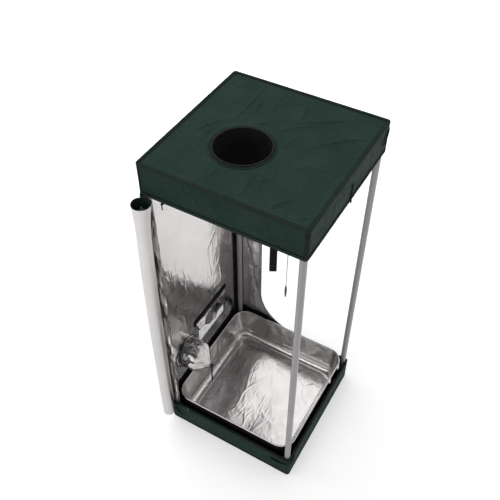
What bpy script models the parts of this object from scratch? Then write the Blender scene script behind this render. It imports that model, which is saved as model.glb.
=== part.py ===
"""Indoor grow tent: a steel pole frame in a fabric cover, with its door rolled up at one corner.

Metres, +Z up. The origin is the centre of the base's underside. +X is to the right along
the open front, +Y goes to the back, and the closed side wall stands at -X.
"""
import math

import bmesh
import bpy
from mathutils import Matrix, Vector

# Overall size
WIDTH = 0.600
DEPTH = 0.600
HEIGHT = 1.500

# Cover cloth, its seams and its edge binding
CLOTH = 0.0015
SEAM_GAP = 0.0003
COVER_RADIUS = 0.010
LEAST_RADIUS = 0.002
CAP_BAND_HEIGHT = 0.118
BASE_BAND_HEIGHT = 0.123
SEAM_OVERLAP = 0.020
BINDING_WIDTH = 0.011
BINDING_THICKNESS = 0.0010

# Zip along the cap, the base and the back opening
ZIP_THICKNESS = 0.0012
ZIP_SHOW = 0.006
ZIP_HIDDEN = 0.012
ZIP_FROM_LEFT = 0.025

# Poles and their corner sockets
POLE_RADIUS = 0.0125
POLE_WALL = 0.0008
POLE_INSET = 0.0180
SOCKET_WALL = 0.0027
SOCKET_FIT = 0.0003
SOCKET_LENGTH = 0.050
SOCKET_STOP = 0.016
BLOCK_MARGIN = 0.0002
BLOCK_ROUNDING = 0.007
ROUND_PROFILE_SHARE = 0.5

# Hanging bars under the roof, with a clip at each end
HANGING_BAR_RADIUS = 0.0095
CLIP_WIDTH = 0.024
CLIP_TO_SOCKET = 0.020
CLIP_STUB_RADIUS = 0.0125
CLIP_STUB_LENGTH = 0.042

# Duct port in the roof
PORT_FROM_LEFT = 0.246
PORT_FROM_FRONT = 0.236
PORT_RADIUS = 0.100
PORT_RING_WIDTH = 0.010
PORT_RING_HEIGHT = 0.0014
PORT_BEAD_RADIUS = 0.0022
SLEEVE_LENGTH = 0.245
SLEEVE_END_RADIUS = 0.088
SLEEVE_CLOTH = 0.0012
SLEEVE_HEM = 0.018
SLEEVE_HEM_SWELL = 0.0012

# Back opening with its round lower corner
BACK_STRIP_WIDTH = 0.124
BACK_CORNER_RADIUS = 0.200
BACK_SILL_Z = 0.138
BACK_ZIP_SHOW = 0.004
BACK_ZIP_WIDTH = 0.010

# Black tapes on the inside of the closed walls
TAPE_THICKNESS = 0.0008
CORNER_TAPE_WIDTH = 0.026
SKIRT_LOW_Z = 0.131
SKIRT_HIGH_Z = 0.190

# Vent window in the side wall, with its net, hem, hook strip and flap
VENT_FROM_PORT = 0.097
VENT_FROM_BACK = 0.150
VENT_LOW_Z = 0.285
VENT_HIGH_Z = 0.432
NET_THICKNESS = 0.0006
NET_MARGIN = 0.006
HEM_WIDTH = 0.012
HEM_THICKNESS = 0.0010
HOOK_STRIP_OVERHANG = 0.026
HOOK_STRIP_HEIGHT = 0.016
HOOK_STRIP_THICKNESS = 0.0032
HOOK_STRIP_LIFT = 0.002
FLAP_LENGTH = 0.098
FLAP_OVERHANG = 0.014
FLAP_STAND_OFF = 0.0085
FLAP_FOLD_DEPTH = 0.0060
FLAP_FOLDS = 3.5
FLAP_BULGE = 0.016

# Duct port in the side wall, with its sleeve tied shut
SIDE_PORT_FROM_FRONT = 0.143
SIDE_PORT_Z = 0.335
SIDE_PORT_RADIUS = 0.0715
PIPING_RADIUS = 0.0025
SIDE_SLEEVE_LENGTH = 0.134
SIDE_SLEEVE_SAG = 0.022
SIDE_SLEEVE_NECK = 0.0075
SIDE_SLEEVE_PLEATS = 7
# Share of the sleeve's length, share of the way from mouth to neck radius, share of the pleats
SIDE_SLEEVE_SHARES = (
    (0.00, 0.00, 0.00),
    (0.18, 0.00, 0.05),
    (0.36, 0.02, 0.15),
    (0.52, 0.06, 0.30),
    (0.66, 0.20, 0.55),
    (0.78, 0.45, 0.80),
    (0.87, 0.78, 1.00),
    (0.91, 1.00, 0.40),
    (1.00, 1.00, 0.40),
)
SIDE_SLEEVE_NECK_SHARE = 0.91
SIDE_SLEEVE_TIE_SHARE = 0.955
PLEAT_DEPTH = 0.0040
TIE_WIDTH = 0.007
TIE_THICKNESS = 0.0022
TIE_TAIL_LENGTH = 0.105

# Loose tray
TRAY_RIM_HALF_X = WIDTH / 2 - 0.017
TRAY_RIM_HALF_Y = DEPTH / 2 - 0.017
TRAY_TAPER = 0.017
TRAY_RIM_Z = 0.168
TRAY_RIM_CORNER = 0.066
TRAY_FLOOR_CORNER = 0.055
TRAY_FILLET = 0.018
TRAY_CLOTH = 0.0018
# Heights of the sections round the tray's foot, as shares of the fillet there
TRAY_FOOT_SHARES = (0.0, 0.13, 0.5, 1.0)
RIM_BEAD_RADIUS = 0.0030

# Door cloth rolled up beside the front left corner
DOOR_CLOTH = 0.0022
DOOR_HEM_WIDTH = 0.0255
DOOR_HEM_PROUD = 0.0005
ROLL_STAND_OFF = 0.0325
ROLL_FOOT_INSET = 0.006
ROLL_HEAD_SHIFT = 0.022
ROLL_BOTTOM_Z = 0.090
ROLL_TOP_GAP = 0.003
ROLL_RADIUS = 0.0268
ROLL_FLARE = 0.0080
ROLL_PITCH = 0.0052
ROLL_TURNS = 2.25
# Heights of the roll's sections as shares of its length, and how far each has flared out
ROLL_LEVEL_SHARES = (0.0, 0.30, 0.60, 0.80, 0.90, 0.96, 1.0)
ROLL_FLARE_SHARES = (0.0, 0.0, 0.0, 0.03, 0.20, 0.60, 1.0)

# Hanging strap and tie cord on the front hanging bar
STRAP_FROM_RIGHT = 0.161
STRAP_WIDTH = 0.025
STRAP_PLY = 0.0016
STRAP_BORE_FIT = 0.0005
STRAP_LENGTH = 0.329
STRAP_FOLD_LENGTH = 0.031
STRAP_NECK_DROP = 0.020
STRAP_WRAP_START = math.radians(-40)
STRAP_WRAP = math.radians(260)
CORD_FROM_RIGHT = 0.110
CORD_DIAMETER = 0.0026
CORD_END_Z = 1.1065
CORD_BOW = 0.0015
KNOT_RADIUS = 0.0045
TOGGLE_LENGTH = 0.056
TOGGLE_RADIUS = 0.0058
TOGGLE_END_RADIUS = 0.0032
# How far down the toggle its waist starts and ends
TOGGLE_WAIST_SHARES = (0.17, 0.67)

# Zip sliders and their pulls
SLIDER_FROM_LEFT = 0.088
SLIDER_WIDTH = 0.008
SLIDER_HEIGHT = 0.0115
SLIDER_WALL = 0.0018
SLIDER_FIT = 0.0003
SLIDER_ROOT = 0.0055
EAR_THICKNESS = 0.0010
EAR_REACH = 0.0044
EAR_HEIGHT = 0.0036
PIN_RADIUS = 0.0008
PULL_FIT = 0.0003
PULL_WIDTH = 0.0046
PULL_LENGTH = 0.024
PULL_THICKNESS = 0.0012
PULL_EYE_RADIUS = 0.0020

# Webbing loop on the cap's right band
CAP_TIE_Y = 0.004
CAP_TIE_WIDTH = 0.014
CAP_TIE_HEIGHT = 0.080
CAP_TIE_DROP = 0.009
CAP_TIE_THICKNESS = 0.0020

# How finely round shapes are cut, and how far a cutter runs past what it cuts
POLE_STEPS = 20
SOCKET_STEPS = 16
PORT_STEPS = 36
SMALL_STEPS = 12
COVER_CORNER_STEPS = 4
TRAY_CORNER_STEPS = 7
BEND_STEPS = 8
ROLL_STEPS = 20
FOLD_STEPS = 28
FOLD_ROWS = 4
OVERRUN = 0.010
SMOOTH_ANGLE = math.radians(40)

# Places that several pieces share
HALF_WIDTH = WIDTH / 2
HALF_DEPTH = DEPTH / 2
ROOF_LOW_Z = HEIGHT - CLOTH
CAP_HIGH_Z = ROOF_LOW_Z - SEAM_GAP
CAP_LOW_Z = CAP_HIGH_Z - CAP_BAND_HEIGHT
BASE_LOW_Z = CLOTH + SEAM_GAP
BASE_HIGH_Z = BASE_BAND_HEIGHT
SOCKET_BORE = POLE_RADIUS + SOCKET_FIT
SOCKET_RADIUS = SOCKET_BORE + SOCKET_WALL
POLE_X = HALF_WIDTH - POLE_INSET
POLE_Y = HALF_DEPTH - POLE_INSET
BLOCK_HALF = SOCKET_RADIUS + BLOCK_MARGIN
LOW_BAR_Z = BASE_LOW_Z + BLOCK_HALF
HIGH_BAR_Z = CAP_HIGH_Z - BLOCK_HALF
WALL_OUT = -(CLOTH + SEAM_GAP)
WALL_IN = WALL_OUT - CLOTH
LINING_OUT = WALL_IN - SEAM_GAP
WALL_LOW_Z = BASE_HIGH_Z - SEAM_OVERLAP
WALL_HIGH_Z = CAP_LOW_Z + SEAM_OVERLAP
WALL_FRONT_Y = -(HALF_DEPTH - COVER_RADIUS)
LINING_X = -(HALF_WIDTH + LINING_OUT)
PORT_X = -HALF_WIDTH + PORT_FROM_LEFT
PORT_Y = -HALF_DEPTH + PORT_FROM_FRONT
SIDE_PORT_Y = -HALF_DEPTH + SIDE_PORT_FROM_FRONT
VENT_LOW_Y = SIDE_PORT_Y + VENT_FROM_PORT
VENT_HIGH_Y = HALF_DEPTH - VENT_FROM_BACK
ZIP_START_X = -HALF_WIDTH + ZIP_FROM_LEFT
SLIDER_X = -HALF_WIDTH + SLIDER_FROM_LEFT
STRAP_X = HALF_WIDTH - STRAP_FROM_RIGHT
CORD_X = HALF_WIDTH - CORD_FROM_RIGHT
BACK_EDGE_X = -HALF_WIDTH + BACK_STRIP_WIDTH
BACK_ARC_X = BACK_EDGE_X + BACK_CORNER_RADIUS
BACK_ARC_Z = BACK_SILL_Z + BACK_CORNER_RADIUS
HEM_X = -(HALF_WIDTH + WALL_OUT) - SEAM_GAP - CLOTH / 2
HEM_FRONT_Y = -HALF_DEPTH - DOOR_HEM_PROUD
DOOR_AXIS = Vector((HEM_X, HEM_FRONT_Y - SEAM_GAP - DOOR_CLOTH / 2, 0))
HANGING_BAR_Y = POLE_Y - SOCKET_LENGTH - CLIP_TO_SOCKET - CLIP_WIDTH / 2
FRONT_BAR_AXIS = Vector((0, -HANGING_BAR_Y, HIGH_BAR_Z))
BACK_BAR_AXIS = Vector((0, HANGING_BAR_Y, HIGH_BAR_Z))


# Meshes

def loft(rings, closed):
    """Join equal rings of points: into a ring-shaped body if closed, else with an end face on each end."""
    bm = bmesh.new()
    rows = [[bm.verts.new(point) for point in ring] for ring in rings]
    pairs = list(zip(rows, rows[1:]))
    if closed:
        pairs.append((rows[-1], rows[0]))
    else:
        bm.faces.new(list(reversed(rows[0])))
        bm.faces.new(rows[-1])
    for low, high in pairs:
        for index in range(len(low)):
            after = (index + 1) % len(low)
            bm.faces.new((low[index], low[after], high[after], high[index]))
    bmesh.ops.recalc_face_normals(bm, faces=bm.faces)
    return bm


def rounded_loop(half_x, half_y, radius, z, steps):
    """Points round a rectangle with round corners."""
    points = []
    for quarter, (side_x, side_y) in enumerate(((1, 1), (-1, 1), (-1, -1), (1, -1))):
        for step in range(steps + 1):
            angle = math.pi / 2 * (quarter + step / steps)
            x = side_x * (half_x - radius) + radius * math.cos(angle)
            y = side_y * (half_y - radius) + radius * math.sin(angle)
            points.append(Vector((x, y, z)))
    return points


def cover_loop(offset, z):
    """The cover's outline, moved outwards by an offset."""
    radius = max(COVER_RADIUS + offset, LEAST_RADIUS)
    return rounded_loop(HALF_WIDTH + offset, HALF_DEPTH + offset, radius, z, COVER_CORNER_STEPS)


def across(axis):
    """Two directions at right angles to an axis, in right-hand order."""
    axis = Vector(axis).normalized()
    first = Vector((0, 0, 1)) if abs(axis.z) < abs(axis.x) + abs(axis.y) else Vector((1, 0, 0))
    first = (first - axis * first.dot(axis)).normalized()
    return first, axis.cross(first)


def circle_loop(centre, axis, radius, steps):
    """Points round a circle about an axis."""
    first, second = across(axis)
    angles = [2 * math.pi * step / steps for step in range(steps)]
    return [Vector(centre) + radius * (first * math.cos(a) + second * math.sin(a)) for a in angles]


def turned(profile, centre, axis, steps, closed):
    """A profile of (radius, distance along the axis) turned about that axis."""
    axis = Vector(axis).normalized()
    rings = [circle_loop(Vector(centre) + axis * along, axis, radius, steps) for radius, along in profile]
    return loft(rings, closed)


def rod(start, end, radius, steps):
    """A solid round bar."""
    axis = Vector(end) - Vector(start)
    return turned([(radius, 0), (radius, axis.length)], start, axis, steps, False)


def tube(start, end, radius, wall, steps):
    """A round tube with open ends."""
    axis = Vector(end) - Vector(start)
    profile = [(radius, 0), (radius, axis.length), (radius - wall, axis.length), (radius - wall, 0)]
    return turned(profile, start, axis, steps, True)


def torus(centre, axis, radius, bead, steps, bead_steps):
    """A round bead bent into a ring."""
    angles = [2 * math.pi * step / bead_steps for step in range(bead_steps)]
    profile = [(radius + bead * math.cos(a), bead * math.sin(a)) for a in angles]
    return turned(profile, centre, axis, steps, True)


def plate(outline, axis, low, high):
    """A flat outline, given in the plane across X or Y or Z, made thick along that axis."""
    slot = "XYZ".index(axis)
    rings = []
    for level in (low, high):
        ring = []
        for first, second in outline:
            values = [first, second]
            values.insert(slot, level)
            ring.append(Vector(values))
        rings.append(ring)
    return loft(rings, False)


def box(low, high):
    """A block between two corners."""
    outline = [(low[0], low[1]), (high[0], low[1]), (high[0], high[1]), (low[0], high[1])]
    return plate(outline, "Z", low[2], high[2])


def strip(outer, inner, low, high):
    """A ribbon on edge that follows two plan lines, from one height to another."""
    rings = []
    for (out_x, out_y), (in_x, in_y) in zip(outer, inner):
        rings.append([
            Vector((out_x, out_y, low)),
            Vector((out_x, out_y, high)),
            Vector((in_x, in_y, high)),
            Vector((in_x, in_y, low)),
        ])
    return loft(rings, False)


# Objects

def material(name, colour, roughness, metallic):
    made = bpy.data.materials.new(name)
    made.use_nodes = True
    shader = made.node_tree.nodes["Principled BSDF"]
    shader.inputs["Base Color"].default_value = (*colour, 1)
    shader.inputs["Roughness"].default_value = roughness
    shader.inputs["Metallic"].default_value = metallic
    return made


def add_object(name, bm, finish):
    """Put a bmesh into the scene as a named object."""
    mesh = bpy.data.meshes.new(name)
    bm.to_mesh(mesh)
    bm.free()
    mesh.shade_smooth()
    mesh.set_sharp_from_angle(angle=SMOOTH_ANGLE)
    obj = bpy.data.objects.new(name, mesh)
    bpy.context.scene.collection.objects.link(obj)
    mesh.materials.append(finish)
    return obj


def combine(obj, bm, operation):
    """Cut a shape out of an object, or join it on."""
    mesh = bpy.data.meshes.new(obj.name + "_tool")
    bm.to_mesh(mesh)
    bm.free()
    tool = bpy.data.objects.new(obj.name + "_tool", mesh)
    bpy.context.scene.collection.objects.link(tool)
    tool.hide_render = True
    tool.display_type = "WIRE"
    change = obj.modifiers.new(operation.lower(), "BOOLEAN")
    change.operation = operation
    change.solver = "EXACT"
    change.object = tool
    return tool


def settle(obj, tools):
    """Apply an object's modifiers and remove their tools."""
    depsgraph = bpy.context.evaluated_depsgraph_get()
    mesh = bpy.data.meshes.new_from_object(obj.evaluated_get(depsgraph))
    obj.modifiers.clear()
    obj.data = mesh
    mesh.shade_smooth()
    mesh.set_sharp_from_angle(angle=SMOOTH_ANGLE)
    for tool in tools:
        bpy.data.objects.remove(tool)


def carry(name, place, pieces):
    """Hang moving pieces on an empty that stands on their joint's axis."""
    pivot = bpy.data.objects.new(name, None)
    pivot.location = place
    pivot.empty_display_size = POLE_RADIUS
    bpy.context.scene.collection.objects.link(pivot)
    for piece in pieces:
        piece.parent = pivot
        piece.matrix_parent_inverse = Matrix.Translation(-Vector(place))


# Frame

def uprights(steel):
    low = LOW_BAR_Z + SOCKET_STOP + SEAM_GAP
    high = HIGH_BAR_Z - SOCKET_STOP - SEAM_GAP
    for row, y in (("front", -POLE_Y), ("back", POLE_Y)):
        for side, x in (("left", -POLE_X), ("right", POLE_X)):
            shape = tube((x, y, low), (x, y, high), POLE_RADIUS, POLE_WALL, POLE_STEPS)
            add_object(f"upright_{row}_{side}", shape, steel)


def rail_ring(level, z, steel):
    """The four level bars of the base or the top."""
    reach_x = POLE_X - SOCKET_STOP - SEAM_GAP
    reach_y = POLE_Y - SOCKET_STOP - SEAM_GAP
    for row, y in (("front", -POLE_Y), ("back", POLE_Y)):
        shape = tube((-reach_x, y, z), (reach_x, y, z), POLE_RADIUS, POLE_WALL, POLE_STEPS)
        add_object(f"{level}_bar_{row}", shape, steel)
    for side, x in (("left", -POLE_X), ("right", POLE_X)):
        shape = tube((x, -reach_y, z), (x, reach_y, z), POLE_RADIUS, POLE_WALL, POLE_STEPS)
        add_object(f"{level}_bar_{side}", shape, steel)


def corner_mesh(plastic):
    """A three-way corner block about the origin, its sockets along +X, +Y and +Z."""
    legs = [Vector((1, 0, 0)), Vector((0, 1, 0)), Vector((0, 0, 1))]
    block = box((-BLOCK_HALF, -BLOCK_HALF, -BLOCK_HALF), (BLOCK_HALF, BLOCK_HALF, BLOCK_HALF))
    bmesh.ops.bevel(
        block,
        geom=block.edges,
        offset=BLOCK_ROUNDING,
        segments=2,
        profile=ROUND_PROFILE_SHARE,
        affect="EDGES",
    )
    corner = add_object("corner_block", block, plastic)
    tools = []
    for leg in legs:
        socket = rod(leg * (BLOCK_HALF - SOCKET_WALL), leg * SOCKET_LENGTH, SOCKET_RADIUS, SOCKET_STEPS)
        tools.append(combine(corner, socket, "UNION"))
    for leg in legs:
        bore = rod(leg * SOCKET_STOP, leg * (SOCKET_LENGTH + OVERRUN), SOCKET_BORE, SOCKET_STEPS)
        tools.append(combine(corner, bore, "DIFFERENCE"))
    settle(corner, tools)
    mesh = corner.data
    bpy.data.objects.remove(corner)
    return mesh


def corner_sockets(plastic):
    """Eight copies of one socket, each turned so that its legs point along the bars."""
    mesh = corner_mesh(plastic)
    turns = {("front", "left"): 0, ("front", "right"): 1, ("back", "right"): 2, ("back", "left"): 3}
    upside_down = Matrix.Rotation(math.pi / 2, 4, "Z") @ Matrix.Rotation(math.pi, 4, "X")
    for level, z in (("bottom", LOW_BAR_Z), ("top", HIGH_BAR_Z)):
        for (row, side), turn in turns.items():
            place = Vector((POLE_X if side == "right" else -POLE_X, POLE_Y if row == "back" else -POLE_Y, z))
            spin = Matrix.Rotation(turn * math.pi / 2, 4, "Z")
            if level == "top":
                spin = spin @ upside_down
            corner = bpy.data.objects.new(f"corner_{level}_{row}_{side}", mesh)
            corner.matrix_world = Matrix.Translation(place) @ spin
            bpy.context.scene.collection.objects.link(corner)


def bar_clip(name, side, y, plastic):
    """The clip that holds one end of a hanging bar on a side bar."""
    centre = Vector((side * POLE_X, y, HIGH_BAR_Z))
    inward = Vector((-side, 0, 0))
    half = Vector((0, CLIP_WIDTH / 2, 0))
    run = Vector((0, CLIP_WIDTH / 2 + OVERRUN, 0))
    clip = add_object(name, rod(centre - half, centre + half, SOCKET_RADIUS, SOCKET_STEPS), plastic)
    stub = rod(centre, centre + inward * CLIP_STUB_LENGTH, CLIP_STUB_RADIUS, SOCKET_STEPS)
    combine(clip, stub, "UNION")
    combine(clip, rod(centre - run, centre + run, SOCKET_BORE, SOCKET_STEPS), "DIFFERENCE")
    bore_start = centre + inward * SOCKET_STOP
    bore_end = centre + inward * (CLIP_STUB_LENGTH + OVERRUN)
    bore = rod(bore_start, bore_end, HANGING_BAR_RADIUS + SOCKET_FIT, SOCKET_STEPS)
    combine(clip, bore, "DIFFERENCE")
    return clip


def hanging_bar(name, y, steel):
    reach = POLE_X - SOCKET_STOP - SEAM_GAP
    shape = tube((-reach, y, HIGH_BAR_Z), (reach, y, HIGH_BAR_Z), HANGING_BAR_RADIUS, POLE_WALL, POLE_STEPS)
    return add_object(name, shape, steel)


# Cap and base

def band(name, low, high, green):
    """A strip of cloth round all four sides."""
    rings = [cover_loop(0, low), cover_loop(0, high), cover_loop(-CLOTH, high), cover_loop(-CLOTH, low)]
    return add_object(name, loft(rings, True), green)


def windows(low, high):
    """Two blocks that cut a binding back to its edges, one along X and one along Y."""
    level = (low + BINDING_WIDTH, high - BINDING_WIDTH)
    reach_x = HALF_WIDTH + OVERRUN
    reach_y = HALF_DEPTH + OVERRUN
    side_x = HALF_WIDTH - BINDING_WIDTH
    side_y = HALF_DEPTH - BINDING_WIDTH
    along_x = box((-reach_x, -side_y, level[0]), (reach_x, side_y, level[1]))
    along_y = box((-side_x, -reach_y, level[0]), (side_x, reach_y, level[1]))
    return along_x, along_y


def roof_panel(green):
    panel = add_object("roof_panel", loft([cover_loop(0, ROOF_LOW_Z), cover_loop(0, HEIGHT)], False), green)
    start = (PORT_X, PORT_Y, ROOF_LOW_Z - OVERRUN)
    end = (PORT_X, PORT_Y, HEIGHT + OVERRUN)
    combine(panel, rod(start, end, PORT_RADIUS, PORT_STEPS), "DIFFERENCE")


def cap_binding(black):
    """Tape over the roof's edges, down the corners and along the band's lower edge."""
    near = SEAM_GAP
    far = SEAM_GAP + BINDING_THICKNESS
    rings = [
        cover_loop(far, CAP_LOW_Z),
        cover_loop(far, HEIGHT + far),
        cover_loop(-BINDING_WIDTH, HEIGHT + far),
        cover_loop(-BINDING_WIDTH, HEIGHT + near),
        cover_loop(near, HEIGHT + near),
        cover_loop(near, CAP_LOW_Z),
    ]
    tape = add_object("cap_binding", loft(rings, True), black)
    for window in windows(CAP_LOW_Z, HEIGHT):
        combine(tape, window, "DIFFERENCE")


def base_binding(black):
    """Tape along both edges of the base band and down its corners."""
    near = SEAM_GAP
    far = SEAM_GAP + BINDING_THICKNESS
    low = SEAM_GAP
    rings = [
        cover_loop(far, low),
        cover_loop(far, BASE_HIGH_Z),
        cover_loop(near, BASE_HIGH_Z),
        cover_loop(near, low),
    ]
    tape = add_object("base_binding", loft(rings, True), black)
    for window in windows(low, BASE_HIGH_Z):
        combine(tape, window, "DIFFERENCE")


def corner_run(side_x, side_y, offset, first, last):
    """Plan points round one corner of the cover, between two angles in quarter turns."""
    radius = max(COVER_RADIUS + offset, LEAST_RADIUS)
    centre_x = side_x * (HALF_WIDTH + offset - radius)
    centre_y = side_y * (HALF_DEPTH + offset - radius)
    points = []
    for step in range(COVER_CORNER_STEPS + 1):
        angle = math.pi / 2 * (first + (last - first) * step / COVER_CORNER_STEPS)
        points.append((centre_x + radius * math.cos(angle), centre_y + radius * math.sin(angle)))
    return points


def zip_line(offset, end_x):
    """The zip's plan line: along the front, round the right side and along the back."""
    front = [(ZIP_START_X, -(HALF_DEPTH + offset))] + corner_run(1, -1, offset, -1, 0)
    return front + corner_run(1, 1, offset, 0, 1) + [(end_x, HALF_DEPTH + offset)]


def zip_tape(name, low, high, end_x, black):
    outer = zip_line(WALL_OUT, end_x)
    inner = zip_line(WALL_OUT - ZIP_THICKNESS, end_x)
    return add_object(name, strip(outer, inner, low, high), black)


def floor_panel(black):
    add_object("floor_panel", loft([cover_loop(0, 0), cover_loop(0, CLOTH)], False), black)


def cap_tie(black):
    """A short webbing loop stitched to the right band, its end hanging past the edge."""
    inner = HALF_WIDTH + SEAM_GAP + BINDING_THICKNESS + SEAM_GAP
    foot = CAP_LOW_Z - CAP_TIE_DROP
    low = (inner, CAP_TIE_Y - CAP_TIE_WIDTH / 2, foot)
    high = (inner + CAP_TIE_THICKNESS, CAP_TIE_Y + CAP_TIE_WIDTH / 2, foot + CAP_TIE_HEIGHT)
    add_object("cap_tie", box(low, high), black)


# Roof port

def port_ring(black):
    """The flat ring stitched round the roof's hole, with a raised inner bead."""
    seat = HEIGHT + SEAM_GAP
    inner = PORT_RADIUS
    outer = PORT_RADIUS + PORT_RING_WIDTH
    bead = PORT_BEAD_RADIUS
    profile = [
        (outer, 0),
        (outer, PORT_RING_HEIGHT),
        (inner + bead, PORT_RING_HEIGHT),
        (inner + bead, 2 * bead),
        (inner, 2 * bead + PORT_RING_HEIGHT / 2),
        (inner - bead, 2 * bead),
        (inner - bead, 0),
    ]
    add_object("port_ring", turned(profile, (PORT_X, PORT_Y, seat), (0, 0, 1), PORT_STEPS, True), black)


def port_sleeve(black):
    """The duct sleeve that hangs from the roof's hole, with a drawstring hem at its end."""
    top = PORT_RADIUS - SEAM_GAP
    end = SLEEVE_END_RADIUS
    hem = end + SLEEVE_HEM_SWELL
    profile = [
        (top, 0),
        (end, -SLEEVE_LENGTH + SLEEVE_HEM),
        (hem, -SLEEVE_LENGTH + SLEEVE_HEM - SLEEVE_HEM_SWELL),
        (hem, -SLEEVE_LENGTH),
        (end - SLEEVE_CLOTH, -SLEEVE_LENGTH),
        (end - SLEEVE_CLOTH, -SLEEVE_LENGTH + SLEEVE_HEM),
        (top - SLEEVE_CLOTH, 0),
    ]
    add_object("port_sleeve", turned(profile, (PORT_X, PORT_Y, HEIGHT), (0, 0, 1), PORT_STEPS, True), black)


# Closed walls

def left_line(offset, start_y, end_x):
    """Plan points up the side wall and round its back corner."""
    start = (-(HALF_WIDTH + offset), start_y)
    end = (end_x, HALF_DEPTH + offset)
    return [start] + corner_run(-1, 1, offset, 2, 1) + [end]


def left_wall(silver):
    """The closed side wall, which turns the back corner and stops at its seam there."""
    end_x = -(HALF_WIDTH - COVER_RADIUS) + SEAM_GAP
    outer = left_line(WALL_OUT, WALL_FRONT_Y, end_x)
    inner = left_line(WALL_IN, WALL_FRONT_Y, end_x)
    wall = add_object("left_wall", strip(outer, inner, WALL_LOW_Z, WALL_HIGH_Z), silver)
    near = -(HALF_WIDTH + OVERRUN)
    far = -(HALF_WIDTH - OVERRUN)
    combine(wall, box((near, VENT_LOW_Y, VENT_LOW_Z), (far, VENT_HIGH_Y, VENT_HIGH_Z)), "DIFFERENCE")
    start = (near, SIDE_PORT_Y, SIDE_PORT_Z)
    combine(wall, rod(start, (far, SIDE_PORT_Y, SIDE_PORT_Z), SIDE_PORT_RADIUS, PORT_STEPS), "DIFFERENCE")


def back_edge_line(offset, top_z):
    """X and Z of the back opening's edge, moved towards the cloth by an offset."""
    radius = BACK_CORNER_RADIUS + offset
    points = [(BACK_ARC_X - radius, top_z)]
    for step in range(BEND_STEPS + 1):
        angle = math.pi + math.pi / 2 * step / BEND_STEPS
        points.append((BACK_ARC_X + radius * math.cos(angle), BACK_ARC_Z + radius * math.sin(angle)))
    return points


def back_wall(silver):
    start_x = -(HALF_WIDTH - COVER_RADIUS) + 2 * SEAM_GAP
    outline = [(start_x, WALL_LOW_Z), (start_x, WALL_HIGH_Z)]
    outline += back_edge_line(0, WALL_HIGH_Z) + [(BACK_ARC_X, WALL_LOW_Z)]
    add_object("back_wall", plate(outline, "Y", HALF_DEPTH + WALL_IN, HALF_DEPTH + WALL_OUT), silver)


def back_zip_tape(black):
    """The zip half that edges the back opening, on the wall's inner face."""
    top = CAP_LOW_Z + ZIP_HIDDEN
    far = HALF_DEPTH + LINING_OUT
    near = far - ZIP_THICKNESS
    rings = []
    for free, sewn in zip(back_edge_line(-BACK_ZIP_SHOW, top), back_edge_line(BACK_ZIP_WIDTH, top)):
        rings.append([
            Vector((free[0], near, free[1])),
            Vector((free[0], far, free[1])),
            Vector((sewn[0], far, sewn[1])),
            Vector((sewn[0], near, sewn[1])),
        ])
    add_object("back_zip_tape", loft(rings, False), black)


def wall_tape(black):
    """Black tape on the closed walls: along their foot as far as the back zip, and up the corner."""
    zip_radius = BACK_CORNER_RADIUS + BACK_ZIP_WIDTH
    rise = BACK_ARC_Z - SKIRT_HIGH_Z
    end_x = BACK_ARC_X - math.sqrt(zip_radius ** 2 - rise ** 2) - 2 * SEAM_GAP
    outer = left_line(LINING_OUT, WALL_FRONT_Y, end_x)
    inner = left_line(LINING_OUT - TAPE_THICKNESS, WALL_FRONT_Y, end_x)
    tape = add_object("wall_tape", strip(outer, inner, SKIRT_LOW_Z, SKIRT_HIGH_Z), black)
    start_y = HALF_DEPTH - CORNER_TAPE_WIDTH
    corner_end_x = -(HALF_WIDTH - CORNER_TAPE_WIDTH)
    outer = left_line(LINING_OUT, start_y, corner_end_x)
    inner = left_line(LINING_OUT - TAPE_THICKNESS, start_y, corner_end_x)
    combine(tape, strip(outer, inner, SKIRT_HIGH_Z - TAPE_THICKNESS, WALL_HIGH_Z), "UNION")


def door_hem(silver):
    """The doubled edge of the side wall that the door is sewn to."""
    low = (HEM_X - CLOTH / 2, HEM_FRONT_Y, BASE_HIGH_Z + SEAM_GAP)
    high = (HEM_X + CLOTH / 2, HEM_FRONT_Y + DOOR_HEM_WIDTH, CAP_LOW_Z - SEAM_GAP)
    add_object("door_hem", box(low, high), silver)


# Vent

def vent_net(mesh_finish):
    low = (LINING_X, VENT_LOW_Y - NET_MARGIN, VENT_LOW_Z - NET_MARGIN)
    high = (LINING_X + NET_THICKNESS, VENT_HIGH_Y + NET_MARGIN, VENT_HIGH_Z)
    add_object("vent_net", box(low, high), mesh_finish)


def vent_hem(silver):
    """The doubled cloth down both sides of the window and along its foot."""
    low = LINING_X + NET_THICKNESS + SEAM_GAP
    outline = [
        (VENT_LOW_Y - HEM_WIDTH, VENT_HIGH_Z),
        (VENT_LOW_Y - HEM_WIDTH, VENT_LOW_Z - HEM_WIDTH),
        (VENT_HIGH_Y + HEM_WIDTH, VENT_LOW_Z - HEM_WIDTH),
        (VENT_HIGH_Y + HEM_WIDTH, VENT_HIGH_Z),
        (VENT_HIGH_Y, VENT_HIGH_Z),
        (VENT_HIGH_Y, VENT_LOW_Z),
        (VENT_LOW_Y, VENT_LOW_Z),
        (VENT_LOW_Y, VENT_HIGH_Z),
    ]
    add_object("vent_hem", plate(outline, "X", low, low + HEM_THICKNESS), silver)


def vent_hook_strip(black):
    low = (LINING_X, VENT_LOW_Y - HOOK_STRIP_OVERHANG, VENT_HIGH_Z + HOOK_STRIP_LIFT)
    high = (
        LINING_X + HOOK_STRIP_THICKNESS,
        VENT_HIGH_Y + HOOK_STRIP_OVERHANG,
        VENT_HIGH_Z + HOOK_STRIP_LIFT + HOOK_STRIP_HEIGHT,
    )
    add_object("vent_hook_strip", box(low, high), black)


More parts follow.
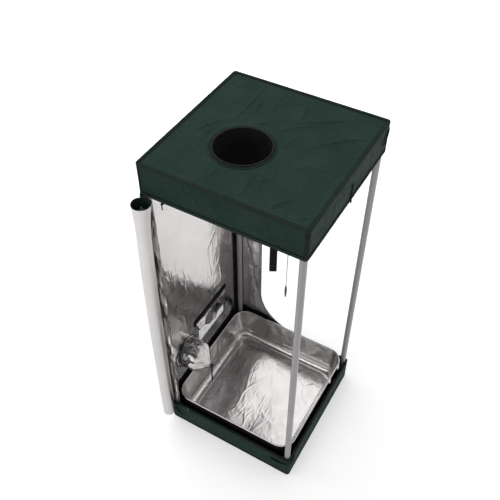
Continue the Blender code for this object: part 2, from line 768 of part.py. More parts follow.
def vent_flap(silver):
    """The flap that hangs from the hook strip in loose folds."""
    hinge_x = LINING_X + HOOK_STRIP_THICKNESS + SEAM_GAP + CLOTH / 2
    hinge_z = VENT_HIGH_Z + HOOK_STRIP_LIFT - SEAM_GAP
    low_y = VENT_LOW_Y - FLAP_OVERHANG
    high_y = VENT_HIGH_Y + FLAP_OVERHANG
    rings = []
    for step in range(FOLD_STEPS + 1):
        share = step / FOLD_STEPS
        y = low_y + (high_y - low_y) * share
        wave = math.sin(2 * math.pi * FLAP_FOLDS * share)
        bulge = FLAP_STAND_OFF + (FLAP_BULGE - FLAP_STAND_OFF) * math.sin(math.pi * share)
        front = []
        back = []
        for row in range(FOLD_ROWS + 1):
            down = row / FOLD_ROWS
            x = hinge_x + math.sin(math.pi / 2 * down) * (bulge + FLAP_FOLD_DEPTH * wave)
            z = hinge_z - FLAP_LENGTH * down
            front.append(Vector((x + CLOTH / 2, y, z)))
            back.append(Vector((x - CLOTH / 2, y, z)))
        rings.append(front + list(reversed(back)))
    flap = add_object("vent_flap", loft(rings, False), silver)
    carry("vent_flap_hinge", (hinge_x, 0, hinge_z), [flap])


# Side port

def side_port_ring(black):
    centre = (LINING_X + PIPING_RADIUS, SIDE_PORT_Y, SIDE_PORT_Z)
    radius = SIDE_PORT_RADIUS + SEAM_GAP + 2 * PIPING_RADIUS
    piping = torus(centre, (1, 0, 0), radius, PIPING_RADIUS, PORT_STEPS, SMALL_STEPS // 2)
    add_object("side_port_ring", piping, black)


def sleeve_ring(along_share, radius, pleat, inset):
    """One section of the tied sleeve: its pleats deepen and its axis drops towards the neck."""
    centre = Vector((LINING_X, SIDE_PORT_Y, SIDE_PORT_Z))
    centre.x += SIDE_SLEEVE_LENGTH * along_share - inset * along_share
    centre.z -= SIDE_SLEEVE_SAG * min(along_share / SIDE_SLEEVE_NECK_SHARE, 1) ** 2
    points = []
    for step in range(PORT_STEPS):
        angle = 2 * math.pi * step / PORT_STEPS
        reach = radius + pleat * math.cos(SIDE_SLEEVE_PLEATS * angle)
        points.append(centre + Vector((0, reach * math.cos(angle), reach * math.sin(angle))))
    return points


def side_port_sleeve(silver):
    """The silver duct sleeve, open to the wall's hole and gathered shut at its neck."""
    mouth = SIDE_PORT_RADIUS
    outer = []
    inner = []
    for along, narrowing, pleat in SIDE_SLEEVE_SHARES:
        radius = mouth + (SIDE_SLEEVE_NECK - mouth) * narrowing
        depth = PLEAT_DEPTH * pleat * (1 - narrowing) + PLEAT_DEPTH / 4 * pleat
        outer.append(sleeve_ring(along, radius, depth, 0))
        if narrowing < 1:
            inner.append(sleeve_ring(along, radius - CLOTH, depth, CLOTH))
    add_object("side_port_sleeve", loft(list(reversed(outer)) + inner, False), silver)


def side_port_tie(black):
    """The tie round the sleeve's neck, with its tail hanging down."""
    neck_x = LINING_X + SIDE_SLEEVE_LENGTH * SIDE_SLEEVE_TIE_SHARE
    neck = Vector((neck_x, SIDE_PORT_Y, SIDE_PORT_Z - SIDE_SLEEVE_SAG))
    bore = SIDE_SLEEVE_NECK + PLEAT_DEPTH / 4 + SEAM_GAP
    half = TIE_WIDTH / 2
    start = neck - Vector((half, 0, 0))
    end = neck + Vector((half, 0, 0))
    loop = tube(start, end, bore + TIE_THICKNESS, TIE_THICKNESS, SMALL_STEPS)
    tie = add_object("side_port_tie", loop, black)
    top = neck.z - bore - TIE_THICKNESS / 2
    tail = box(
        (neck.x - half, neck.y - TIE_THICKNESS / 2, top - TIE_TAIL_LENGTH),
        (neck.x + half, neck.y + TIE_THICKNESS / 2, top),
    )
    combine(tie, tail, "UNION")


# Tray

def tray_loop(height, inset, lift):
    """The tray's outline at a height above its underside, moved inwards by an inset."""
    rise = TRAY_RIM_Z - BASE_LOW_Z
    share = height / rise
    spread = TRAY_TAPER * (1 - share)
    corner = TRAY_FLOOR_CORNER + (TRAY_RIM_CORNER - TRAY_FLOOR_CORNER) * share
    if height < TRAY_FILLET:
        drop = TRAY_FILLET - height
        spread += TRAY_FILLET - math.sqrt(TRAY_FILLET ** 2 - drop ** 2)
    half_x = TRAY_RIM_HALF_X - spread - inset
    half_y = TRAY_RIM_HALF_Y - spread - inset
    return rounded_loop(half_x, half_y, corner - inset, BASE_LOW_Z + height + lift, TRAY_CORNER_STEPS)


def tray(silver):
    """A cloth tray with a flat floor, a rounded foot and walls that lean outwards."""
    rise = TRAY_RIM_Z - BASE_LOW_Z
    levels = [TRAY_FILLET * share for share in TRAY_FOOT_SHARES] + [rise]
    outer = [tray_loop(level, 0, 0) for level in levels]
    inner = [tray_loop(level, TRAY_CLOTH, TRAY_CLOTH) for level in levels[:-1]]
    inner.append(tray_loop(rise, TRAY_CLOTH, 0))
    return add_object("tray", loft(outer + list(reversed(inner)), False), silver)


def tray_rim(silver):
    """The piped bead on top of the tray's wall."""
    centre_z = TRAY_RIM_Z + SEAM_GAP + RIM_BEAD_RADIUS
    inset = TRAY_CLOTH / 2
    rings = []
    bead_steps = SMALL_STEPS // 2
    for step in range(bead_steps):
        angle = 2 * math.pi * step / bead_steps - math.pi / 2
        out = RIM_BEAD_RADIUS * math.cos(angle) - inset
        z = centre_z + RIM_BEAD_RADIUS * math.sin(angle)
        half_x = TRAY_RIM_HALF_X + out
        half_y = TRAY_RIM_HALF_Y + out
        rings.append(rounded_loop(half_x, half_y, TRAY_RIM_CORNER + out, z, TRAY_CORNER_STEPS))
    return add_object("tray_rim", loft(rings, True), silver)


# Rolled door

def roll_section(z, centre, radius):
    """The door cloth's section at one height: flat from the seam, then wound in on itself."""
    cloth = DOOR_CLOTH
    wind = radius - cloth / 2
    seam = Vector((DOOR_AXIS.x, DOOR_AXIS.y))
    away = seam - centre
    lead = math.atan2(away.y, away.x) - math.acos(wind / away.length)
    middle = [seam]
    count = int(ROLL_STEPS * ROLL_TURNS)
    for step in range(count + 1):
        turn = step / ROLL_STEPS
        reach = wind - ROLL_PITCH * turn * radius / ROLL_RADIUS
        angle = lead - 2 * math.pi * turn
        middle.append(centre + reach * Vector((math.cos(angle), math.sin(angle))))
    left = []
    right = []
    for index, point in enumerate(middle):
        before = middle[max(index - 1, 0)]
        after = middle[min(index + 1, len(middle) - 1)]
        run = (after - before).normalized()
        normal = Vector((-run.y, run.x)) * cloth / 2
        left.append(Vector((*(point + normal), z)))
        right.append(Vector((*(point - normal), z)))
    return left + list(reversed(right))


def rolled_door(silver):
    """The wrap-round door, unzipped and rolled up beside its sewn edge."""
    top = CAP_LOW_Z - ZIP_SHOW - ROLL_TOP_GAP
    foot_x = -HALF_WIDTH + ROLL_FOOT_INSET
    rings = []
    for level, flare in zip(ROLL_LEVEL_SHARES, ROLL_FLARE_SHARES):
        centre = Vector((foot_x + ROLL_HEAD_SHIFT * level ** 4, -(HALF_DEPTH + ROLL_STAND_OFF)))
        z = ROLL_BOTTOM_Z + (top - ROLL_BOTTOM_Z) * level
        rings.append(roll_section(z, centre, ROLL_RADIUS + ROLL_FLARE * flare))
    door = add_object("rolled_door", loft(rings, False), silver)
    carry("door_seam", (DOOR_AXIS.x, DOOR_AXIS.y, ROLL_BOTTOM_Z), [door])


# Strap and cord on the front hanging bar

def hanging_strap(black):
    """A doubled webbing strap looped over the bar, its lower end folded and stitched."""
    bore = HANGING_BAR_RADIUS + STRAP_BORE_FIT
    outer = bore + STRAP_PLY
    axis_y = FRONT_BAR_AXIS.y
    axis_z = FRONT_BAR_AXIS.z
    neck = STRAP_PLY + SEAM_GAP
    fold = neck + STRAP_PLY
    foot = axis_z - STRAP_LENGTH
    outline = []
    for step in range(POLE_STEPS + 1):
        angle = STRAP_WRAP_START + STRAP_WRAP * step / POLE_STEPS
        outline.append((axis_y + outer * math.cos(angle), axis_z + outer * math.sin(angle)))
    outline += [
        (axis_y - neck, axis_z - STRAP_NECK_DROP),
        (axis_y - neck, foot + STRAP_FOLD_LENGTH),
        (axis_y - fold, foot + STRAP_FOLD_LENGTH),
        (axis_y - fold, foot),
        (axis_y + fold, foot),
        (axis_y + fold, foot + STRAP_FOLD_LENGTH),
        (axis_y + neck, foot + STRAP_FOLD_LENGTH),
        (axis_y + neck, axis_z - STRAP_NECK_DROP),
    ]
    half = STRAP_WIDTH / 2
    strap = add_object("hanging_strap", plate(outline, "X", STRAP_X - half, STRAP_X + half), black)
    start = (STRAP_X - half - OVERRUN, axis_y, axis_z)
    end = (STRAP_X + half + OVERRUN, axis_y, axis_z)
    combine(strap, rod(start, end, bore, POLE_STEPS), "DIFFERENCE")
    carry("strap_swing", (STRAP_X, axis_y, axis_z), [strap])


def knot_centre():
    """The knot hangs from the loop that goes round the bar."""
    loop = HANGING_BAR_RADIUS + SEAM_GAP + CORD_DIAMETER
    return Vector((CORD_X, FRONT_BAR_AXIS.y, FRONT_BAR_AXIS.z - loop - KNOT_RADIUS / 2))


def cord_knot(black):
    """The loop of cord round the bar and the knot under it."""
    radius = HANGING_BAR_RADIUS + SEAM_GAP + CORD_DIAMETER / 2
    centre = Vector((CORD_X, FRONT_BAR_AXIS.y, FRONT_BAR_AXIS.z))
    ring = torus(centre, (1, 0, 0), radius, CORD_DIAMETER / 2, POLE_STEPS, SMALL_STEPS // 2)
    loop = add_object("cord_knot", ring, black)
    ball = bmesh.new()
    bmesh.ops.create_icosphere(ball, subdivisions=2, radius=KNOT_RADIUS)
    bmesh.ops.translate(ball, verts=ball.verts, vec=knot_centre())
    combine(loop, ball, "UNION")
    run = Vector((OVERRUN, 0, 0))
    bore = rod(centre - run, centre + run, HANGING_BAR_RADIUS + SEAM_GAP, POLE_STEPS)
    combine(loop, bore, "DIFFERENCE")
    return loop


def cord_route():
    """Points down the cord, chosen by hand: it hangs almost straight, with a slight bow."""
    top = knot_centre().z - KNOT_RADIUS - SEAM_GAP
    y = FRONT_BAR_AXIS.y
    return [
        Vector((CORD_X, y, top)),
        Vector((CORD_X, y, top - CORD_DIAMETER)),
        Vector((CORD_X + CORD_BOW, y, top - (top - CORD_END_Z) / 3)),
        Vector((CORD_X + CORD_BOW / 2, y, top - (top - CORD_END_Z) * 2 / 3)),
        Vector((CORD_X, y, CORD_END_Z + CORD_DIAMETER)),
        Vector((CORD_X, y, CORD_END_Z)),
    ]


def smooth_points(route, spacing):
    """Points at about one spacing along a smooth curve through the route."""
    padded = [route[0] * 2 - route[1]] + route + [route[-1] * 2 - route[-2]]
    points = []
    for index in range(len(route) - 1):
        before, start, end, after = padded[index:index + 4]
        count = max(1, round((end - start).length / spacing))
        for step in range(count):
            t = step / count
            bend = (end - before) * t + (before * 2 - start * 5 + end * 4 - after) * t ** 2
            bend += (start * 3 - before - end * 3 + after) * t ** 3
            points.append(start + bend / 2)
    points.append(route[-1])
    return points


def tie_cord(grey):
    points = smooth_points(cord_route(), 3 * CORD_DIAMETER)
    curve = bpy.data.curves.new("tie_cord", "CURVE")
    curve.dimensions = "3D"
    curve.bevel_depth = CORD_DIAMETER / 2
    curve.bevel_resolution = 2
    curve.use_fill_caps = True
    spline = curve.splines.new("POLY")
    spline.points.add(len(points) - 1)
    for target, point in zip(spline.points, points):
        target.co = (*point, 1)
    curve.materials.append(grey)
    cord = bpy.data.objects.new("tie_cord", curve)
    bpy.context.scene.collection.objects.link(cord)
    return cord


def cord_toggle(black):
    """The slim toggle on the cord's end, fatter at its waist than at its ends."""
    profile = [
        (TOGGLE_END_RADIUS, 0),
        (TOGGLE_RADIUS, -TOGGLE_LENGTH * TOGGLE_WAIST_SHARES[0]),
        (TOGGLE_RADIUS, -TOGGLE_LENGTH * TOGGLE_WAIST_SHARES[1]),
        (TOGGLE_END_RADIUS, -TOGGLE_LENGTH),
    ]
    top = (CORD_X, FRONT_BAR_AXIS.y, CORD_END_Z - SEAM_GAP)
    return add_object("cord_toggle", turned(profile, top, (0, 0, 1), SMALL_STEPS, False), black)


# Zip sliders

def zip_slider(name, edge_z, hang, metal):
    """A slider that straddles the zip's free edge. hang is -1 where that edge points down, else 1."""
    tape_near = -(HALF_DEPTH + WALL_OUT)
    tape_far = tape_near + ZIP_THICKNESS
    near = tape_near - SLIDER_FIT - SLIDER_WALL
    far = tape_far + SLIDER_FIT + SLIDER_WALL
    tip = edge_z + hang * (SLIDER_FIT + SLIDER_ROOT)
    back = tip - hang * SLIDER_HEIGHT
    floor = edge_z + hang * SLIDER_FIT
    outline = [
        (near, tip),
        (near, back),
        (tape_near - SLIDER_FIT, back),
        (tape_near - SLIDER_FIT, floor),
        (tape_far + SLIDER_FIT, floor),
        (tape_far + SLIDER_FIT, back),
        (far, back),
        (far, tip),
    ]
    half = SLIDER_WIDTH / 2
    slider = add_object(name, plate(outline, "X", SLIDER_X - half, SLIDER_X + half), metal)
    pin_y = near - EAR_REACH + EAR_HEIGHT / 2
    pin_z = (tip + floor) / 2
    for side in (-1, 1):
        middle = SLIDER_X + side * (half - EAR_THICKNESS / 2)
        low = (middle - EAR_THICKNESS / 2, near - EAR_REACH, pin_z - EAR_HEIGHT / 2)
        high = (middle + EAR_THICKNESS / 2, near + SLIDER_WALL / 2, pin_z + EAR_HEIGHT / 2)
        combine(slider, box(low, high), "UNION")
    reach = half - EAR_THICKNESS / 2
    pin = rod((SLIDER_X - reach, pin_y, pin_z), (SLIDER_X + reach, pin_y, pin_z), PIN_RADIUS, SMALL_STEPS)
    combine(slider, pin, "UNION")
    return slider, Vector((SLIDER_X, pin_y, pin_z))


def zip_pull(name, pin, metal):
    """The flat pull that hangs on a slider's pin."""
    outline = []
    for step in range(SMALL_STEPS + 1):
        angle = math.pi * step / SMALL_STEPS
        outline.append((pin.x + PULL_WIDTH / 2 * math.cos(angle), pin.z + PULL_EYE_RADIUS * math.sin(angle)))
    outline += [(pin.x - PULL_WIDTH / 2, pin.z - PULL_LENGTH), (pin.x + PULL_WIDTH / 2, pin.z - PULL_LENGTH)]
    half = PULL_THICKNESS / 2
    pull = add_object(name, plate(outline, "Y", pin.y - half, pin.y + half), metal)
    reach = Vector((PULL_WIDTH / 2, 0, 0))
    combine(pull, rod(pin - reach, pin + reach, PULL_EYE_RADIUS, SMALL_STEPS), "UNION")
    run = Vector((OVERRUN, 0, 0))
    combine(pull, rod(pin - run, pin + run, PIN_RADIUS + PULL_FIT, SMALL_STEPS), "DIFFERENCE")
    return pull


# Assembly

def build():
    for obj in list(bpy.data.objects):
        bpy.data.objects.remove(obj)
    steel = material("painted_steel", (0.42, 0.42, 0.44), 0.38, 0.55)
    plastic = material("black_plastic", (0.02, 0.02, 0.022), 0.5, 0)
    green = material("green_canvas", (0.026, 0.045, 0.038), 0.75, 0)
    black = material("black_tape", (0.008, 0.008, 0.009), 0.8, 0)
    silver = material("silver_lining", (0.70, 0.68, 0.68), 0.22, 0.9)
    netting = material("white_net", (0.75, 0.75, 0.76), 0.7, 0)
    metal = material("zip_metal", (0.05, 0.05, 0.055), 0.35, 0.8)
    grey = material("grey_cord", (0.35, 0.35, 0.36), 0.8, 0)

    uprights(steel)
    rail_ring("bottom", LOW_BAR_Z, steel)
    rail_ring("top", HIGH_BAR_Z, steel)
    corner_sockets(plastic)

    front_bar = [hanging_bar("hanging_bar_front", FRONT_BAR_AXIS.y, steel)]
    back_bar = [hanging_bar("hanging_bar_back", BACK_BAR_AXIS.y, steel)]
    for word, side in (("left", -1), ("right", 1)):
        front_bar.append(bar_clip(f"bar_clip_front_{word}", side, FRONT_BAR_AXIS.y, plastic))
        back_bar.append(bar_clip(f"bar_clip_back_{word}", side, BACK_BAR_AXIS.y, plastic))
    front_bar += [cord_knot(black), tie_cord(grey), cord_toggle(black)]
    carry("front_bar_slide", FRONT_BAR_AXIS, front_bar)
    carry("back_bar_slide", BACK_BAR_AXIS, back_bar)
    hanging_strap(black)

    roof_panel(green)
    band("cap_band", CAP_LOW_Z, CAP_HIGH_Z, green)
    cap_binding(black)
    cap_zip_end_x = BACK_EDGE_X + 3 * SEAM_GAP
    zip_tape("cap_zip_tape", CAP_LOW_Z - ZIP_SHOW, CAP_LOW_Z + ZIP_HIDDEN, cap_zip_end_x, black)
    cap_tie(black)
    floor_panel(black)
    band("base_band", BASE_LOW_Z, BASE_HIGH_Z, green)
    base_binding(black)
    base_zip_end_x = BACK_ARC_X + 3 * SEAM_GAP
    zip_tape("base_zip_tape", BASE_HIGH_Z - ZIP_HIDDEN, BASE_HIGH_Z + ZIP_SHOW, base_zip_end_x, black)

    port_ring(black)
    port_sleeve(black)

    left_wall(silver)
    back_wall(silver)
    back_zip_tape(black)
    wall_tape(black)
    door_hem(silver)
    vent_net(netting)
    vent_hem(silver)
    vent_hook_strip(black)
    vent_flap(silver)
    side_port_ring(black)
    side_port_sleeve(silver)
    side_port_tie(black)

    carry("tray_lift", (0, 0, BASE_LOW_Z), [tray(silver), tray_rim(silver)])
    rolled_door(silver)

    top_slider, top_pin = zip_slider("zip_slider_top", CAP_LOW_Z - ZIP_SHOW, -1, metal)
    low_slider, low_pin = zip_slider("zip_slider_bottom", BASE_HIGH_Z + ZIP_SHOW, 1, metal)
    carry("slider_top_slide", top_pin, [top_slider])
    carry("slider_bottom_slide", low_pin, [low_slider])
    carry("pull_top_hinge", top_pin, [zip_pull("zip_pull_top", top_pin, metal)])
    carry("pull_bottom_hinge", low_pin, [zip_pull("zip_pull_bottom", low_pin, metal)])


build()
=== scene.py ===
"""Indoor grow tent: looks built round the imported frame. Metres, in the frame's own places."""

import math

import bpy
import numpy as np
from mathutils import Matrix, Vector


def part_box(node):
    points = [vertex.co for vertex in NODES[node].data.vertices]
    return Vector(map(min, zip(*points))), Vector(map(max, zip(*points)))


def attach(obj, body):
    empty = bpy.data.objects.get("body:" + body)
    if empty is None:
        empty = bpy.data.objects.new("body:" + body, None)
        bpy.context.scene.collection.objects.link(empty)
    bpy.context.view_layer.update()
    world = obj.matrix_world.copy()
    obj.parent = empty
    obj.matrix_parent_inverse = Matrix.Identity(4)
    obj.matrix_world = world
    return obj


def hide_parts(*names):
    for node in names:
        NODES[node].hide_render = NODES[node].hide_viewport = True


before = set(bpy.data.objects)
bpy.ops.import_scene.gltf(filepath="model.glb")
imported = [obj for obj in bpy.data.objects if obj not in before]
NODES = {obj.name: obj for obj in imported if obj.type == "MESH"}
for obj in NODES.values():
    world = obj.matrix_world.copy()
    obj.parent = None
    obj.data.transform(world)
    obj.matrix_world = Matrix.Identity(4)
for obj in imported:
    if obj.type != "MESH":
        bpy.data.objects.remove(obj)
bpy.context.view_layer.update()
TAU = 2 * math.pi

# Places of the tent, as in the part's source
HALF, TOP, CORNER = 0.300, 1.500, 0.010
CAP_LOW, CAP_HIGH = 1.3802, 1.4982
BASE_LOW, BASE_HIGH = 0.0018, 0.1230
POLE, LOW_BAR, HIGH_BAR, BAR_Y = 0.282, 0.0175, 1.4825, 0.200
WALL_LOW, WALL_HIGH, WALL_END, WALL_BEND = 0.103, 1.400, 0.290, 0.00745
LINING = -0.2964
PORT, PORT_RADIUS = (-0.054, -0.064), 0.100
SIDE_PORT, SIDE_RADIUS = (-0.157, 0.335), 0.0715
WINDOW = (-0.060, 0.150, 0.285, 0.432)
STRAP_X, CORD_X, KNOT_Z = 0.139, 0.190, 1.46785

# Thicknesses that several sheets share
CANVAS, LIGHT, TAPING, WOUND = 0.0010, 0.0009, 0.0008, 0.0005


# Numbers

def xyz(*axes):
    """Points, or places on flat cloth, from their coordinates."""
    return np.stack(np.broadcast_arrays(*axes), -1)


def circle(count):
    """Angles once round."""
    return np.linspace(0, TAU, count, endpoint=False)


def distances(line):
    """How far each point of a line lies along it."""
    return np.concatenate([[0], np.cumsum(np.linalg.norm(np.diff(line, axis=0), axis=-1))])


def ease(value, low, high):
    """0 below low, 1 above high, and smooth between."""
    share = np.clip((value - low) / (high - low), 0, 1)
    return share * share * (3 - 2 * share)


def lines(stops, step):
    """Even steps between stops, with every stop kept."""
    parts = [
        np.linspace(a, b, max(1, round(abs(b - a) / step)), endpoint=False)
        for a, b in zip(stops, stops[1:])
    ]
    return np.concatenate(parts + [[stops[-1]]])


def lattice(x, y, seed):
    """Places within their squares of a grid, and the random heights of the squares' four corners."""
    grid = np.random.default_rng(seed).uniform(-1, 1, (64, 64))
    i, j = np.floor(x).astype(int), np.floor(y).astype(int)
    s, t = x - i, y - j
    i, j = i % 64, j % 64
    k, m = (i + 1) % 64, (j + 1) % 64
    return s, t, grid[i, j], grid[k, j], grid[i, m], grid[k, m]


def ripple(u, v, size, seed):
    """Smooth noise from -1 to 1 over two coordinates, with bumps of one size."""
    s, t, a, b, c, d = lattice(np.asarray(u) / size, np.asarray(v) / size, seed)
    s, t = s * s * (3 - 2 * s), t * t * (3 - 2 * t)
    return (a * (1 - s) + b * s) * (1 - t) + (c * (1 - s) + d * s) * t


def crumple(u, v, size, seed, sharp=6):
    """Crushed cloth: 0 in the middle of its facets, 1 along their ridges."""
    total = 0
    for turn in range(3):
        angle = seed + turn * 1.2
        along = u * math.cos(angle) + v * math.sin(angle)
        off = v * math.cos(angle) - u * math.sin(angle)
        warp = ripple(u, v, size * 1.7, seed + 40) * size * 0.6
        total = total + (1 - abs(ripple(along + warp, off / 1.8 - warp, size, seed + turn))) ** sharp
    return total / 3


def facets(u, v, size, seed):
    """Noise from -1 to 1 in flat facets with sharp creases between them, as crushed film has."""
    x = (u + ripple(u, v, size * 2.3, seed + 7) * size * 0.7) / size
    y = (v + ripple(v, u, size * 2.1, seed + 8) * size * 0.7) / size
    s, t, a, b, c, d = lattice(x, y, seed)
    low = a + (b - a) * s + (c - a) * t
    high = d + (c - d) * (1 - s) + (b - d) * (1 - t)
    return np.where(s + t > 1, high, low)


def creases(u, v, table):
    """Single folds. Each has two ends, a height and a width."""
    total = np.zeros(np.broadcast(u, v).shape)
    for au, av, bu, bv, height, width in table:
        length = math.hypot(bu - au, bv - av)
        ru, rv = (bu - au) / length, (bv - av) / length
        along = (u - au) * ru + (v - av) * rv
        bow = math.sin((au + bv) * 90) * length * 0.05
        share = np.clip(along / length, 0, 1)
        off = (v - av) * ru - (u - au) * rv - bow * np.sin(math.pi * share)
        beyond = np.maximum(abs(along - length / 2) - length / 2, 0)
        swell = np.sin(math.pi * np.clip(share, 0.04, 0.96)) ** 0.6
        total += height * swell * np.exp(-np.hypot(off, beyond) / width)
    return total


# Finishes

class Nodes:
    """Shader nodes of one tree."""

    def __init__(self, tree):
        self.tree = tree

    def node(self, kind, values=(), **settings):
        """One node. Each of its values is a constant, or the socket that feeds the input."""
        made = self.tree.nodes.new(kind)
        for key, value in settings.items():
            setattr(made, key, value)
        for key, value in dict(values).items():
            if hasattr(value, "is_linked"):
                self.tree.links.new(value, made.inputs[key])
            else:
                made.inputs[key].default_value = value
        return made

    def maths(self, operation, *values, clamp=False):
        made = self.node("ShaderNodeMath", dict(enumerate(values)), operation=operation, use_clamp=clamp)
        return made.outputs[0]

    def spread(self, value, low, high, to_low=0.0, to_high=1.0):
        """A value carried from one range to another."""
        values = {"Value": value, "From Min": low, "From Max": high, "To Min": to_low, "To Max": to_high}
        return self.node("ShaderNodeMapRange", values).outputs["Result"]

    def seen(self):
        """1 for the camera's rays alone, and 1 for those that a mirror or glass passes on too."""
        path = self.node("ShaderNodeLightPath").outputs
        seen = self.maths("MAXIMUM", path["Is Camera Ray"], path["Is Glossy Ray"])
        return path["Is Camera Ray"], self.maths("MAXIMUM", seen, path["Is Transmission Ray"])


class Recipe(Nodes):
    """One procedural material, built node by node."""

    def __init__(self, name, colour, roughness, metallic=0.0, cloth=True, **constants):
        self.made = bpy.data.materials.new(name)
        self.made.use_nodes = True
        super().__init__(self.made.node_tree)
        self.shader = self.tree.nodes["Principled BSDF"]
        self.shader.inputs["Base Color"].default_value = (*colour, 1)
        self.shader.inputs["Roughness"].default_value = roughness
        self.shader.inputs["Metallic"].default_value = metallic
        for key, value in constants.items():
            self.shader.inputs[key.replace("_", " ")].default_value = value
        if cloth:
            self.place = self.node("ShaderNodeAttribute", attribute_name="cloth").outputs["Vector"]
        else:
            self.place = self.node("ShaderNodeTexCoord").outputs["Object"]

    def stretched(self, scale, turn=0.0):
        """The cloth's coordinates, scaled apart along its two directions."""
        values = {"Vector": self.place, "Scale": scale, "Rotation": (0, 0, turn)}
        return self.node("ShaderNodeMapping", values).outputs["Vector"]

    def moved(self, place, seed):
        """Coordinates moved by a seed, so that layers don't repeat each other."""
        values = {"Vector": place or self.place, "Location": (seed, seed * 1.7, seed * 0.6)}
        return self.node("ShaderNodeMapping", values).outputs["Vector"]

    def noise(self, scale, detail=2.0, place=None, distortion=0.0):
        values = {"Vector": place or self.place, "Scale": scale, "Detail": detail, "Distortion": distortion}
        return self.node("ShaderNodeTexNoise", values).outputs["Fac"]

    def broken(self, off, scale, place, sparse, soft):
        """A thin line where off is 0, broken off here and there."""
        line = self.maths("SUBTRACT", 1.0, off, clamp=True)
        return self.maths("MULTIPLY", line, self.spread(self.noise(scale, 1.0, place), sparse, sparse + soft))

    def folds(self, scale, thin, seed, place=None, sparse=0.45):
        """Thin sharp lines, as folds leave in foil."""
        place = self.moved(place, seed)
        off = self.maths("ABSOLUTE", self.maths("SUBTRACT", self.noise(scale, 1.0, place, 0.6), 0.5))
        return self.broken(self.maths("MULTIPLY", off, thin), scale * 0.45, place, sparse, 0.14)

    def crinkle(self, scale, width, seed, place, sparse=0.42):
        """Straight sharp creases between flat facets."""
        place = self.moved(place, seed)
        cells = self.node("ShaderNodeTexVoronoi", {"Vector": place, "Scale": scale}, feature="DISTANCE_TO_EDGE")
        return self.broken(self.maths("DIVIDE", cells.outputs["Distance"], width), scale * 0.8, place, sparse, 0.10)

    def weave(self, pitch):
        """Warp and weft threads at one pitch."""
        values = {"Vector": self.place, "Scale": TAU / 20 / pitch}
        waves = [self.node("ShaderNodeTexWave", values, bands_direction=way).outputs["Fac"] for way in ("X", "Y")]
        return self.maths("MAXIMUM", *waves)

    def tint(self, value, dark, light, low=0.3, high=0.7):
        values = {0: self.spread(value, low, high), 6: (*dark, 1), 7: (*light, 1)}
        mixed = self.node("ShaderNodeMix", values, data_type="RGBA")
        self.tree.links.new(mixed.outputs[2], self.shader.inputs["Base Color"])

    def rough(self, value, smooth, dull, low=0.3, high=0.7):
        self.tree.links.new(self.spread(value, low, high, smooth, dull), self.shader.inputs["Roughness"])

    def bumps(self, *layers):
        """Bump from heights, each with its distance in metres."""
        normal = None
        for height, distance in layers:
            values = {"Height": height, "Distance": distance, "Strength": 1.0}
            if normal is not None:
                values["Normal"] = normal
            normal = self.node("ShaderNodeBump", values).outputs["Normal"]
        self.tree.links.new(normal, self.shader.inputs["Normal"])
        return self.made


def shades(colour, dark, light):
    """A darker and a lighter shade of a colour."""
    return [tuple(min(1, part * gain) for part in colour) for gain in (dark, light)]


def canvas(name, dark, light):
    made = Recipe(name, light, 0.6, Specular_IOR_Level=0.02)
    coarse, fine = made.maths("MULTIPLY", made.noise(9, 3.0), 0.30), made.maths("MULTIPLY", made.noise(230), 0.70)
    made.tint(made.maths("ADD", coarse, fine), dark, light, 0.42, 0.58)
    made.rough(made.noise(25), 0.46, 0.62)
    return made.bumps(
        (made.folds(6, 30, 3.1, made.stretched((1, 0.45, 1), 0.9)), 0.0012),
        (made.crinkle(8, 0.07, 5.2, made.stretched((1, 0.5, 1), 0.9), 0.50), 0.0016),
        (made.folds(15, 22, 6.3), 0.0005),
        (made.noise(60, 3.0), 0.0006),
        (made.noise(420), 0.00025),
        (made.weave(0.0009), 0.00010),
    )


def foil(name, colour, smooth, dull, depth, stretch=(1, 1, 1), turn=0.0, straight=False):
    """Silver film: fine creases that run one way, crossed by a few others."""
    made = Recipe(name, colour, 0.3, 1.0)
    made.tint(made.noise(7), *shades(colour, 0.96, 1.03))
    made.rough(made.noise(18, 3.0), smooth, dull)
    place = made.stretched(stretch, turn)
    if straight:
        fine_creases = [
            (made.crinkle(13, 0.09, 2.3, place, 0.43), 0.00060 * depth),
            (made.crinkle(30, 0.13, 7.7, place), 0.00034 * depth),
            (made.crinkle(64, 0.16, 4.2, place), 0.00012 * depth),
        ]
    else:
        fine_creases = [
            (made.folds(scale, thin, seed, place, 0.48), height * depth)
            for scale, thin, seed, height in ((7, 70, 1.3, 0.00055), (17, 60, 7.7, 0.00040), (42, 34, 4.2, 0.00018))
        ]
    return made.bumps(
        (made.noise(14), 0.00030 * depth), *fine_creases, (made.noise(110, 3.0, place), 0.00015 * depth)
    )


def webbing(name, colour, pitch=0.0011, roughness=0.75):
    made = Recipe(name, colour, roughness, Specular_IOR_Level=0.06)
    made.tint(made.noise(60, 3.0), *shades(colour, 0.75, 1.35))
    made.rough(made.noise(90), roughness - 0.08, roughness + 0.08)
    return made.bumps((made.weave(pitch), 0.00025), (made.noise(300), 0.00008))


def painted(name, colour):
    made = Recipe(name, colour, 0.36, 0.12, cloth=False, Coat_Weight=0.25, Coat_Roughness=0.22)
    made.tint(made.noise(5, 3.0), *shades(colour, 0.93, 1.05))
    made.rough(made.noise(30, 3.0), 0.30, 0.44)
    return made.bumps((made.noise(420), 0.00005), (made.noise(60), 0.00006))


def moulded(name, colour, roughness, metallic=0.0):
    made = Recipe(name, colour, roughness, metallic, cloth=False)
    made.tint(made.noise(14, 3.0), *shades(colour, 0.8, 1.4))
    made.rough(made.noise(50), roughness - 0.08, roughness + 0.1)
    return made.bumps((made.noise(900), 0.00006), (made.noise(120), 0.00005))


